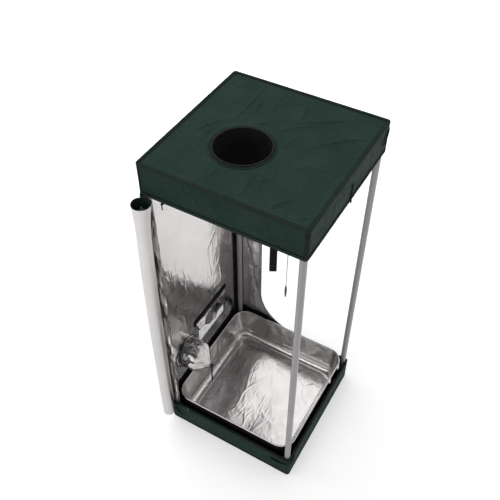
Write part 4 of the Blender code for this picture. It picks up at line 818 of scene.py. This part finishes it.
def wall_tapes():
    """Black tape along the walls' foot and up the back corner, and the hem that the door is sewn to. The tapes' black
    also paints the shade in the gap between the tray's rim and the wall, and in the back corner.
    """
    x, y, nx, ny, _ = plan_left(0.0080)
    far = lines((-0.2892, -0.133), 0.008)
    x, y = np.concatenate([x + nx * 0.0015, far]), np.concatenate([y + ny * 0.0015, far * 0 + 0.29595])
    nx, ny = np.concatenate([nx, far * 0]), np.concatenate([ny, far * 0 - 1])
    along = distances(xyz(x, y))
    u, z = np.meshgrid(along, np.linspace(0.1312, 0.1898, 8))
    off = abs(ripple(u, z, 0.03, 98)) * 0.0006
    points = xyz(x + nx * off, y + ny * off, z)
    # Its black above the tray's rim is partly painted shade of the gap between the rim and the wall.
    drape("skirt_tape_and_gap_shade_cloth", points, xyz(u, z), TAPING, DARK, "black_tape", "wall_tape")
    out = xyz(nx, ny, 0)
    seam("skirt_tape_stitches", points[-1] + out * 0.0007 - (0, 0, 0.002), out)

    keep = (y > 0.246) & (x < -0.266)
    x, y, nx, ny, along, out = (axis[keep] for axis in (x, y, nx, ny, along, out))
    u, z = np.meshgrid(along, lines((0.189, WALL_HIGH), 0.008))
    off = abs(ripple(u * 2, z, 0.05, 99)) * 0.0006
    points = xyz(x + nx * off, y + ny * off, z)
    # Its black is partly painted shade of the back corner.
    drape("corner_tape_and_shade_cloth", points, xyz(u, z), TAPING, DARK, "black_tape")
    for number, side in enumerate((1, -2)):
        seam(f"corner_tape_stitches_{number + 1}", points[:, side] + out[side] * 0.0007, out[side])

    levels = lines((0.1233, 1.3799), 0.008)
    span = np.linspace(-0.3003, -0.2750, 7)
    y, z = np.meshgrid(span, levels)
    x = -0.29925 - abs(ripple(y * 2, z, 0.04, 100)) * 0.0005
    drape("door_seam_cloth", xyz(x, y, z), xyz(y, z), 0.0012, [FOIL, SHADED_GREEN_BACK], "silver_lining", "door_hem")
    for number, row in enumerate((2, 4)):
        seam(f"door_seam_stitches_{number + 1}", xyz(-0.2986, span[row], levels), (1, 0, 0), PALE_THREAD)


def door_lead():
    """The door's cloth between its sewn edge and the roll, lying in front of the upright."""
    share, z = np.meshgrid(np.linspace(0, 1, 26), lines((0.139, 1.366), 0.006))
    x = -0.2988 + (0.0465 * (1 - 0.45 * ease(0.24 - z, 0, 0.10)) - 0.004 * ease(z, 1.2, 1.36)) * share
    free = ease(share, 0, 0.25)
    y = -0.2968 - free * (0.0012 + 0.0010 * np.sin(z * 21 + share * 5) + ripple(x * 2, z / 3, 0.02, 141) * 0.0016)
    y -= free * facets(x, z / 1.6, 0.022, 142) * 0.0014
    x += free * share * ripple(z, 0, 0.05, 143) * 0.0022
    made = drape("door_lead_cloth", xyz(x, y, z), xyz(x, z), LIGHT, [SHADED_GREEN_BACK, FOIL], "silver_lining", flip=True)


# Vent

def vent():
    """The window's net, the hem round it, and the hook strip over it."""
    low_y, high_y, low_z, high_z = WINDOW
    half, deep = 0.00032, 0.0002
    sides = quads(2, 4, True)
    points, faces = [], []
    for upright, places, ends, x in (
        (True, np.arange(low_y - 0.004, high_y + 0.004, 0.0021), (low_z - 0.005, high_z - 0.0005), LINING + 0.0002),
        (False, np.arange(low_z - 0.004, high_z, 0.0021), (low_y - 0.005, high_y + 0.005), LINING + 0.0004),
    ):
        for place in places:
            faces.append((sides if upright else sides[:, ::-1]) + len(points))
            for end in ends:
                for side, back in ((-half, 0), (half, 0), (half, deep), (-half, deep)):
                    points.append((x + back, place + side, end) if upright else (x + back, end, place + side))
    points = np.array(points)
    put("vent_net_yarns", points, np.concatenate(faces), [NET], "vent_net", cloth=points[:, 1:])

    wide = 0.012
    corners = np.array([
        ((low_y, high_z), (low_y - wide, high_z)),
        ((low_y, low_z), (low_y - wide, low_z - wide)),
        ((high_y, low_z), (high_y + wide, low_z - wide)),
        ((high_y, high_z), (high_y + wide, high_z)),
    ])
    path = []
    for start, end in zip(corners, corners[1:]):
        count = max(3, int(np.linalg.norm(end[0] - start[0]) / 0.004))
        path += [start + (end - start) * share for share in np.arange(count) / count]
    inner, outer = np.array(path + [corners[-1]]).transpose(1, 0, 2)
    rows = np.array([inner + (outer - inner) * share for share in (0, 0.08, 0.35, 0.65, 0.92, 1)])
    y, z = rows[..., 0], rows[..., 1]
    bulge = np.array([0, 0.0003, 0.0005, 0.0005, 0.0003, 0])[:, None]
    points = xyz(LINING + 0.0013 + bulge + ripple(y, z, 0.012, 101) * 0.0002, y, z)
    drape("vent_hem_cloth", points, rows, TAPING, FOIL, "silver_lining", "vent_hem")
    for number, row in enumerate((1, 4)):
        seam(f"vent_hem_stitches_{number + 1}", points[row] + (0.0006, 0, 0), (1, 0, 0))
    places = xyz(LINING + 0.0022, np.arange(low_y, high_y, 0.0078), low_z - 0.0010)
    repeat("vent_hem_overlock", bead(0.0070, 0.0016, 0.0006), places, (0, 0.32, 0.947), (1, 0, 0), THREAD)

    rises = np.array([0.0010, 0.0016, 0.006, 0.011, 0.016, 0.0214, 0.0220])
    bulge = np.array([0, 0.0004, 0.0006, 0.0006, 0.0006, 0.0004, 0])[:, None]
    y, z = np.meshgrid(lines((low_y - 0.0255, high_y + 0.0255), 0.004), high_z + rises)
    x = LINING + 0.0017 + bulge + ripple(y, z, 0.02, 102) * 0.0002
    drape("hook_strip_cloth", xyz(x, y, z), xyz(y, z), 0.0018, WEBBING, "black_tape", "vent_hook_strip")


def vent_flap():
    """The hanging flap: its near half rolls up at its foot, and its far half folds over."""
    low_y, high_y = WINDOW[:2]
    length, bend, tighten, fold = 0.098, 0.0076, 0.00028, 0.0052
    share, down = np.meshgrid(np.linspace(0, 1, 110), np.linspace(0, 1, 100))
    y = low_y - 0.014 + (high_y - low_y + 0.028 - 0.006 * down) * share
    fall = length * down
    near = share < 0.47
    across = ease(share, 0.10, 0.47)
    lifted = ease(share, 0.50, 0.66) * (1 - ease(share, 0.86, 1.0))
    straight = np.where(near, 0.027 + 0.071 * across, length - 0.034 * lifted)
    hung, curled = np.minimum(fall, straight), np.maximum(fall - straight, 0)
    turned = (bend - np.sqrt(np.maximum(bend ** 2 - 2 * tighten * curled, 1e-9))) / tighten
    reach = bend - tighten * turned
    rolled_x = 0.0150 * (1 - across) * ease(hung / straight, 0, 1)
    rolled_x += np.where(curled > 0, reach * np.cos(turned) - bend, 0)
    rolled_z = np.where(curled > 0, -reach * np.sin(turned), 0)
    arc = np.minimum(curled / fold, 2.9)
    spare = curled - arc * fold
    folded_x = fold * (1 - np.cos(arc)) + spare * np.sin(arc)
    folded_z = -fold * np.sin(arc) - spare * np.cos(arc)
    loose = ease(down, 0.05, 0.25)
    z = 0.4337 - hung + np.where(near, rolled_z, folded_z)
    x = -0.2930 + 0.03 * hung + np.where(near, rolled_x, folded_x)
    x += loose * (1 + ripple(y, fall, 0.03, 104) + facets(y, fall, 0.026, 103)) * np.where(near, 0.0018, 0.0010)
    z += loose * ripple(y, fall, 0.03, 105) * 0.0012
    flap = drape("vent_flap_cloth", xyz(x, y, z), xyz(y, z), LIGHT, [SHADED_LOOSE_FOIL, SHADED_GREEN_BACK], "silver_lining",
                 "vent_flap", True, body="flap")


# Side port

def side_circle(x, reach, angles, drop=0):
    """Points round the side port's axis."""
    return xyz(x, SIDE_PORT[0] + reach * np.cos(angles), SIDE_PORT[1] - drop + reach * np.sin(angles))


def side_port():
    """The piping round the side port, the sleeve gathered inwards, and the tie round its neck."""
    rod("side_port_piping", side_circle(LINING + 0.0014, 0.0768, circle(120)), 0.0013, 10, TAPE,
        "side_port_ring", up=(1, 0, 0), closed=True)
    reaches, narrows, pleats = np.array([
        (0.00, 0.00, 0.00), (0.20, 0.00, 0.03), (0.42, 0.01, 0.14), (0.54, 0.05, 0.35), (0.62, 0.19, 0.60),
        (0.71, 0.41, 0.85), (0.80, 0.66, 1.00), (0.87, 0.90, 1.00), (0.91, 1.00, 0.40), (0.95, 1.02, 0.40),
        (1.00, 0.97, 0.40),
    ]).T
    at = np.concatenate([np.linspace(0, 0.9, 46), np.linspace(0.91, 1.0, 12)])
    narrow = np.interp(at, reaches, narrows)
    for _ in range(3):
        narrow[1:-1] = (narrow[:-2] + narrow[1:-1] * 2 + narrow[2:]) / 4
    narrow, pleat = narrow[:, None], np.interp(at, reaches, pleats)[:, None]
    a, s = np.meshgrid(circle(170), at)
    girth = a * SIDE_RADIUS
    sag, neck_radius = 0.022, 0.0075
    lobe = abs(np.sin(2.5 * a + 0.8 * np.sin(2 * a + 1))) ** 0.7
    radius = SIDE_RADIUS - 0.0006 + (neck_radius - SIDE_RADIUS) * narrow
    radius = radius + pleat * (0.0100 * (1 - narrow) + 0.0014) * (lobe * 1.6 - 1.1)
    slack = ease(s, 0.06, 0.30) * ease(0.89 - s, 0, 0.14) * ease(math.pi - abs(a - math.pi), 0, 0.5)
    dents = facets(girth, s * 0.155, 0.052, 111) * 0.0075 + facets(girth, s * 0.155, 0.024, 114) * 0.0024
    radius += slack * (dents - 0.0035)
    points = side_circle(LINING + 0.0006 + 0.1325 * s, radius, a, sag * np.minimum(s / 0.91, 1) ** 2)
    sleeve = drape("side_sleeve_cloth", points, xyz(girth, s * 0.134), LIGHT, [SHADED_GREEN_BACK, SHADED_LOOSE_FOIL],
                   "silver_lining", "side_port_sleeve", True, True, rim=1)

    neck_x, tail = -0.1684, 0.104
    turns = np.linspace(0, TAU * 2.2, 90)
    rod("sleeve_tie_winding", side_circle(neck_x - 0.0022 + 0.0042 * turns / turns[-1], 0.0098, turns, sag), 0.0011, 8,
        WEBBING, "side_port_tie", up=(1, 0, 0))
    u, v = np.meshgrid(np.linspace(-0.0032, 0.0032, 4), np.linspace(0, 1, 40))
    x = neck_x + 0.0012 * np.sin(v * 5) + u
    y = SIDE_PORT[0] + 0.0014 * np.sin(v * 7 + 1) - 0.0003
    z = SIDE_PORT[1] - sag - 0.0095 - tail * v
    drape("sleeve_tie_tail", xyz(x, y, z), xyz(u, v * tail), 0.0014, WEBBING, "black_tape")


# Tray

TRAY_FOLDS = [
    (-0.02, 0.20, 0.05, 0.02, 0.0018, 0.005), (0.00, 0.10, 0.03, -0.12, 0.0020, 0.005),
    (0.03, 0.02, 0.10, -0.08, 0.0014, 0.004), (-0.05, 0.02, 0.03, -0.06, 0.0014, 0.005),
    (-0.02, -0.05, 0.08, -0.19, 0.0016, 0.005), (0.12, 0.08, 0.20, 0.03, 0.0010, 0.004),
    (0.10, -0.02, 0.17, -0.10, 0.0011, 0.004), (-0.14, -0.10, -0.04, -0.20, 0.0012, 0.005),
    (0.05, 0.20, 0.09, 0.12, 0.0010, 0.004), (-0.10, -0.02, -0.05, -0.16, 0.0010, 0.005),
]
TRAY_RISE, TRAY_FILLET = 0.168 - BASE_LOW, 0.030


def tray_loop(height):
    """Plan line round the tray at a height above its floor: points and distances."""
    share = height / TRAY_RISE
    spread = 0.017 * (1 - share) + 0.0009
    if height < TRAY_FILLET:
        spread += TRAY_FILLET - math.sqrt(TRAY_FILLET ** 2 - (TRAY_FILLET - height) ** 2)
    x, y, _, _, along = rounded(0.283 - spread, 0.055 + 0.011 * share - 0.0009, 0.0052)
    return x, y, along


def tray():
    """The tray: a floor with one low swell, a fillet, upright walls, a piped rim and two tabs."""
    floor_z = BASE_LOW + 0.0009
    base_x, base_y, around = tray_loop(0.0)
    count = len(base_x)
    rows = [
        xyz(base_x * reach, base_y * reach, floor_z) for reach in np.concatenate([[0.0005], np.linspace(0.03, 1, 48)])
    ]
    floor_rows = len(rows)
    heights = TRAY_FILLET * (1 - np.cos(np.linspace(0, math.pi / 2, 8)[1:]))
    for height in np.concatenate([heights, np.linspace(TRAY_FILLET, TRAY_RISE, 27)[1:]]):
        x, y, _ = tray_loop(height)
        share, old = np.arange(count) / count, np.arange(len(x) + 1) / len(x)
        x, y = (np.interp(share, old, np.append(axis, axis[0])) for axis in (x, y))
        rows.append(xyz(x, y, floor_z + height))
    rows = np.array(rows)
    x, y = rows[..., 0], rows[..., 1]
    step = np.linalg.norm(np.diff(rows, axis=0), axis=2).mean(1)
    u, v = np.meshgrid(around, np.concatenate([[0], np.cumsum(step)]))
    normals = -facing(rows, quads(len(rows), count, True))
    floor_lift = 0.0008 + creases(x, y, TRAY_FOLDS) * 0.15 + ripple(x, y, 0.06, 122) * 0.00015
    swell = ease(x, -0.262, -0.218) * (1 - ease(x, -0.115, 0.055)) * ease(0.262 - abs(y), 0, 0.06)
    floor_lift += swell * 0.0095 + facets(x + y, y - x, 0.034, 121) * 0.00010 + facets(x, y, 0.015, 127) * 0.00004
    foot = v[floor_rows, 0]
    wall_lift = facets(u, v * 0.4, 0.030, 123) * 0.0003 + ripple(u, v * 0.4, 0.03, 124) * 0.0004
    wall_lift += ripple(u, v * 0.12, 0.016, 128) * 0.0005 + 0.0016 * np.exp(-abs(v - foot - 0.062) / 0.004)
    wall_lift *= ease(v, foot + 0.01, foot + 0.04) * ease(v[-1, 0] - v, 0, 0.03)
    tucks = (0.5 + 0.5 * np.cos(u * TAU / 0.011 + 3 * ripple(u, v, 0.05, 125))) * 0.0010
    tucks *= np.exp(-((v - v[floor_rows - 2, 0]) / 0.010) ** 2)
    on_floor = (np.arange(len(rows)) < floor_rows)[:, None]
    lift = np.where(on_floor, np.maximum(floor_lift, 0), wall_lift) + tucks
    place = np.where(on_floor[..., None], xyz(x, y), xyz(u, v + 1.0))
    made = drape("tray_cloth", rows + normals * lift[..., None], place, 0.0012, [DARK, TRAY_FOIL], "silver_lining",
                 "tray", closed=True, body="loose_tray", rim=1, sharp=60)

    x, y, *_ = rounded(0.2821, 0.0651, 0.005)
    rod("tray_rim_piping", xyz(x, y, 0.1713 + ripple(x, y, 0.08, 126) * 0.0004), 0.0028, 10, TRAY_FOIL,
        "tray_rim", "loose_tray", closed=True)
    x, y, nx, ny, _ = rounded(0.2807, 0.0645, 0.006)
    seam("tray_rim_stitches", xyz(x - nx * 0.0004, y - ny * 0.0004, 0.1655), xyz(-nx, -ny, 0), PALE_THREAD,
         "loose_tray", closed=True)
    for number, middle in enumerate((0.122, 0.212)):
        u, v = np.meshgrid(np.linspace(-0.010, 0.010, 5), np.linspace(0, 1, 14))
        x = 0.2842 + 0.0042 * np.sin(v * math.pi * 0.6)
        drape(f"tray_tab_{number + 1}", xyz(x, middle + u * (1 - 0.25 * v), 0.171 - 0.034 * v), xyz(u, v * 0.034),
              CANVAS, SHADED_LOOSE_FOIL, "silver_lining", body="loose_tray")


# Rolled door

def rolled_door():
    """The door's cloth, wound into a roll from its sewn edge inwards, silver side out, flared at its top."""
    low, tall, flare, lean = 0.090, 1.2812, 0.0080, 0.022
    per_turn, turns, pitch = 40, 14.9, 0.001235
    seam_x, seam_y, roll_x, roll_y = -0.29925, -0.3019, -0.294, -0.3325
    reaches, widths = (0, 0.60, 0.88, 0.93, 0.965, 1.0), (0, 0, 0.0, 0.12, 0.50, 1.0)
    level = np.concatenate([np.linspace(0, 0.90, 44), np.linspace(0.90, 1, 16)[1:]])[:, None]
    k = np.arange(int(per_turn * turns) + 1) / per_turn
    wide = np.interp(level, reaches, widths)
    wind = 0.0268 + flare * wide - WOUND
    away_x, away_y = seam_x - roll_x - lean * level ** 4, seam_y - roll_y
    lead = np.arctan2(away_y, away_x) - np.arccos(np.minimum(1, wind / np.hypot(away_x, away_y)))
    distance = TAU * (wind * k - pitch * k ** 2 / 2)
    z = low + tall * level
    height = z - 0.085 * ease(k, 0.75, 2.2) * ease(level, 0.86, 1.0)
    real = (height - low) / tall
    waver = ripple(distance, z / 14, 0.013, 131) * 0.00045 + ripple(distance, z / 5, 0.03, 132) * 0.0006
    spiral = wind + flare * (np.interp(real, reaches, widths) - wide) - pitch * k
    reach = np.maximum(spiral + waver * np.exp(-k * 1.5), 0.004)
    angle = lead - TAU * k
    line = xyz(roll_x + lean * real ** 4 + reach * np.cos(angle), roll_y + reach * np.sin(angle), height)
    sewn = xyz(seam_x, seam_y, z)
    rows = np.concatenate([sewn + (line[:, :1] - sewn) * np.array([0, 0.33, 0.66])[:, None], line], 1)
    before = np.broadcast_to((-0.02, -0.013, -0.006), (len(level), 3))
    places = xyz(np.concatenate([before, distance], 1), z)
    roll = drape("door_roll_cloth", rows, places, WOUND, [GREEN, SHADED_ROLL_FOIL], "silver_lining", "rolled_door",
                 body="door_roll", rim=1, sharp=70)

    spread, inward = np.meshgrid(np.linspace(-1, 1, 15), np.linspace(0, 1, 12))
    angle = math.radians(-48) + spread * math.radians(36) * (1 - inward)
    reach = 0.0322 * (1 - inward)
    x, y = roll_x + lean + reach * np.cos(angle), roll_y + reach * np.sin(angle)
    z = low + tall - 0.0035 - 0.006 * inward + 0.001 * np.sin(spread * 3)
    drape("door_roll_corner", xyz(x, y, z), xyz(x, y), WOUND, [SHADED_ROLL_FOIL, GREEN], "silver_lining", flip=True,
          body="door_roll")


# Strap and cord

def strap_place(u, depth, turn, z):
    """A place on the strap, from its width and depth, turned about the strap's middle."""
    x = STRAP_X + u * np.cos(turn) - depth * np.sin(turn)
    return xyz(x, -BAR_Y + depth * np.cos(turn) + u * np.sin(turn), z)


def strap():
    """Doubled webbing looped over the front hanging bar, its lower end folded and stitched."""
    bar, twist = np.array([-BAR_Y, HIGH_BAR]), math.radians(30)
    angles = np.radians(np.linspace(-20, 200, 26))
    over = bar + 0.0108 * xyz(np.cos(angles), np.sin(angles))
    fall = xyz(-BAR_Y - 0.0012, lines((HIGH_BAR - 0.030, 1.1545), 0.006))
    front = np.concatenate([bar + [(-0.0040, -0.012), (-0.0013, -0.020)], fall])
    back = front * (-1, 1) - (2 * BAR_Y, 0)
    line = np.concatenate([back[::-1], over, front])
    y, z = line[:, :1], line[:, 1:]
    u = np.array([-0.0125, -0.0122, -0.006, 0.0, 0.006, 0.0122, 0.0125])
    points = strap_place(u, y + BAR_Y, twist * ease(HIGH_BAR - z, 0.02, 0.20), z)
    drape("strap_webbing", points, xyz(u, distances(line)[:, None]), 0.0014, WEBBING, "black_tape", "hanging_strap",
          body="strap")
    w, v = np.meshgrid(u, lines((1.1540, 1.1845), 0.004))
    for name, side in (("front", -1), ("back", 1)):
        drape(f"strap_fold_{name}", strap_place(w, side * (0.0029 + 0.0002 * np.cos(w * 200)), twist, v), xyz(w, v),
              0.0013, WEBBING, "black_tape", body="strap")
        away = (-side * math.sin(twist), side * math.cos(twist), 0)
        for number, level in enumerate((1.1575, 1.1830)):
            row = strap_place(np.array([-0.0105, 0, 0.0105]), side * 0.0037, twist, level)
            seam(f"strap_fold_{name}_stitches_{number + 1}", row, away, PALE_THREAD, "strap", 0.0028)


def tie_cord():
    """The cord that hangs from the front bar, with its knot and its slim toggle."""
    top, foot = 1.46305, 1.1065
    route = [
        (CORD_X + off, -BAR_Y, z) for off, z in (
            (0, top), (0, top - 0.0026), (0.0015, top - (top - foot) / 3), (0.00075, top - (top - foot) * 2 / 3),
            (0, foot + 0.0026), (0, foot),
        )
    ]
    padded = [Vector(route[0]) * 2 - Vector(route[1])] + [Vector(place) for place in route]
    padded.append(Vector(route[-1]) * 2 - Vector(route[-2]))
    points = []
    for index in range(len(route) - 1):
        before, start, end, after = padded[index:index + 4]
        count = max(1, round((end - start).length / 0.012))
        for step in range(count):
            t = step / count
            bend = (end - before) * t + (before * 2 - start * 5 + end * 4 - after) * t ** 2
            bend += (start * 3 - before - end * 3 + after) * t ** 3
            points.append(start + bend / 2)
    points.append(Vector(route[-1]))
    curve = bpy.data.curves.new("hanging_cord", "CURVE")
    curve.dimensions = "3D"
    curve.bevel_depth = 0.0013
    curve.bevel_resolution = 4
    curve.use_fill_caps = True
    spline = curve.splines.new("POLY")
    spline.points.add(len(points) - 1)
    for target, point in zip(spline.points, points):
        target.co = (*point, 1)
    curve.materials.append(moulded("grey_cord_braid_line", (0.36, 0.36, 0.37), 0.75))
    cord = bpy.data.objects.new("hanging_cord", curve)
    bpy.context.scene.collection.objects.link(cord)
    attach(cord, "front_bar")
    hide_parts("tie_cord")

    turns = np.linspace(0, TAU * 2, 70)
    loop = xyz(CORD_X - 0.0014 + 0.0028 * turns / turns[-1], -BAR_Y + 0.0111 * np.cos(turns),
               HIGH_BAR + 0.0111 * np.sin(turns))
    rod("cord_loop_winding", loop, 0.0013, 8, CORD, "cord_knot", "front_bar", (1, 0, 0))
    t = circle(120)
    knot = xyz(CORD_X + 0.0021 * (np.sin(t) + 2 * np.sin(2 * t)) / 3 * 1.3, -BAR_Y + 0.0021 * np.sin(3 * t) * 0.8,
               KNOT_Z + 0.0024 * (np.cos(t) - 2 * np.cos(2 * t)) / 3 * 1.3)
    rod("cord_overhand_knot", knot, 0.0013, 8, CORD, body="front_bar", up=(0.2, 1, 0.1), closed=True)
    shares = np.array([0, 0.03, 0.10, 0.17, 0.28, 0.42, 0.55, 0.67, 0.80, 0.92, 0.98, 1.0])
    radii = np.array([0.0020, 0.0024, 0.0030, 0.0036, 0.0040, 0.0042, 0.0040, 0.0037, 0.0031, 0.0025, 0.0022, 0.0018])
    toggle = rod("cord_slim_toggle", xyz(CORD_X, -BAR_Y, foot - 0.0003 - 0.056 * shares), radii, 28, PLASTIC,
                 "cord_toggle", "front_bar", (0, 1, 0))


def cap_loop():
    """The webbing loop sewn to the cap's right band."""
    middle = 0.004
    u, z = np.meshgrid([-0.0042, -0.0040, -0.002, 0.002, 0.0040, 0.0042], lines((1.3714, 1.4510), 0.004))
    bow = 0.0006 * (1 - ease(z, 1.373, 1.381))
    for name, x, node in (("inner", 0.3024, None), ("outer", 0.3034 + bow, "cap_tie")):
        drape(f"cap_tie_{name}", xyz(x, middle + u, z), xyz(u, z), LIGHT, WEBBING, "black_tape", node, True)
    for number, level in enumerate((1.389, 1.398, 1.448)):
        line = xyz(0.3040, middle + np.array([-0.0034, 0, 0.0034]), level)
        seam(f"cap_tie_stitches_{number + 1}", line, (1, 0, 0), pitch=0.0026)


# Frame

def poles():
    """Round tubes in place of the faceted ones, with rolled ends."""
    bodies = {"hanging_bar_front": "front_bar", "hanging_bar_back": "back_bar"}
    for node in sorted(NODES):
        bar = "_bar_" in node and node.split("_")[0] in ("top", "bottom", "hanging")
        if not (bar or node.startswith("upright_")):
            continue
        low, high = (np.array(corner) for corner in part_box(node))
        size = high - low
        axis = int(np.argmax(size))
        rolled = np.array([0, 0.0006, 0.0016])
        stops = np.concatenate([rolled, np.linspace(0.02, size[axis] - 0.02, 24), size[axis] - rolled[::-1]])
        line = np.tile((low + high) / 2, (len(stops), 1))
        line[:, axis] = low[axis] + stops
        radii = np.full(len(stops), min(size) / 2)
        radii[[0, -1]] -= 0.0008
        radii[[1, -2]] -= 0.0002
        rod(f"{node}_tube", line, radii, 40, STEEL, node, bodies.get(node, "tent"),
            (0, 0, 1) if axis == 1 else (0, 1, 0))


def fittings():
    """Finishes for the solids that stay, and a moulded lip round each socket of the corner blocks."""
    for node, obj in NODES.items():
        if not obj.hide_render:
            obj.data.materials.clear()
            obj.data.materials.append(METAL if "slider" in node or "pull" in node else PLASTIC)
    socket = 0.049
    lips = []
    for x in (-POLE, POLE):
        for y in (-POLE, POLE):
            for z, way in ((LOW_BAR, 1), (HIGH_BAR, -1)):
                lips.append(((x, y, z + way * socket), (0, 0, 1)))
                lips.append(((x - math.copysign(socket, x), y, z), (1, 0, 0)))
                lips.append(((x, y - math.copysign(socket, y), z), (0, 1, 0)))
    angles = circle(48)[:, None]
    for number, (centre, axis) in enumerate(lips):
        first = np.array([0, 1, 0]) if axis[0] else np.array([1, 0, 0])
        ring = np.array(centre) + 0.01535 * (np.cos(angles) * first + np.sin(angles) * np.cross(axis, first))
        rod(f"socket_lip_{number + 1}", ring, 0.0011, 8, PLASTIC, up=axis, closed=True)


# Studio

def studio():
    """A white floor and world, three lamps, and the photo's camera."""
    scene = bpy.context.scene
    reach = 9.0
    mesh = bpy.data.meshes.new("floor")
    mesh.from_pydata([(-reach, -reach, 0), (reach, -reach, 0), (reach, reach, 0), (-reach, reach, 0)], [],
                     [(0, 1, 2, 3)])
    floor = bpy.data.objects.new("studio_floor", mesh)
    floor.location.z = -0.0008
    scene.collection.objects.link(floor)
    made = bpy.data.materials.new("studio_white")
    made.use_nodes = True
    mesh.materials.append(made)
    nodes = Nodes(made.node_tree)
    _, seen = nodes.seen()
    place = nodes.node("ShaderNodeTexCoord").outputs["Object"]
    far = nodes.node("ShaderNodeVectorMath", {0: place}, operation="LENGTH").outputs["Value"]
    gain = nodes.maths("MULTIPLY", seen, nodes.spread(far, 0.8, 4.0, 0.40, 0.75))
    shader = made.node_tree.nodes["Principled BSDF"].inputs
    shader["Base Color"].default_value = (0.90, 0.90, 0.90, 1)
    shader["Roughness"].default_value = 0.9
    shader["Specular IOR Level"].default_value = 0.0
    shader["Emission Color"].default_value = (1, 1, 1, 1)
    made.node_tree.links.new(gain, shader["Emission Strength"])

    scene.world = bpy.data.worlds.new("studio")
    scene.world.use_nodes = True
    scene.world.node_tree.nodes.clear()
    nodes = Nodes(scene.world.node_tree)
    straight, seen = nodes.seen()
    way = nodes.node("ShaderNodeTexCoord").outputs["Generated"]
    up = nodes.node("ShaderNodeSeparateXYZ", {0: way}).outputs["Z"]
    level = nodes.maths("MAXIMUM", nodes.spread(up, 0.10, 0.64, 1.0, 0.08), straight)
    light, back = (
        nodes.node("ShaderNodeBackground", {"Color": (1, 1, 1, 1), "Strength": strength}).outputs[0]
        for strength in (0.42, level)
    )
    mix = nodes.node("ShaderNodeMixShader", {0: seen, 1: light, 2: back})
    nodes.node("ShaderNodeOutputWorld", {"Surface": mix.outputs[0]})

    for name, place, aim, size, power in (
        ("key_light", (3.15, 0.95, 3.06), (0, 0, 0.5), 3.6, 20),
        ("front_light", (-0.9, -3.6, 1.7), (0, 0, 0.7), 2.6, 18),
        ("top_light", (-1.9, 0.75, 4.25), (0, 0, 0.5), 6.4, 118),
    ):
        lamp = bpy.data.lights.new(name, "AREA")
        lamp.shape = "DISK"
        lamp.size = size
        lamp.energy = power
        obj = bpy.data.objects.new(name, lamp)
        obj.location = place
        obj.rotation_euler = (Vector(place) - Vector(aim)).to_track_quat("Z", "Y").to_euler()
        scene.collection.objects.link(obj)

    camera = bpy.data.cameras.new("camera")
    camera.lens = 49.249
    camera.sensor_width = 36
    obj = bpy.data.objects.new("camera", camera)
    obj.location = (0.8256, -1.5422, 2.8460)
    obj.rotation_euler = (math.radians(43.40), 0, math.radians(29.97))
    scene.collection.objects.link(obj)
    scene.camera = obj
    scene.view_settings.view_transform = "Standard"


studio()
tie_cord()
strap()
roof()
port_sleeve()
cap_and_base()
zips()
side_wall()
back_wall()
wall_tapes()
door_lead()
vent()
vent_flap()
side_port()
tray()
rolled_door()
cap_loop()
poles()
fittings()
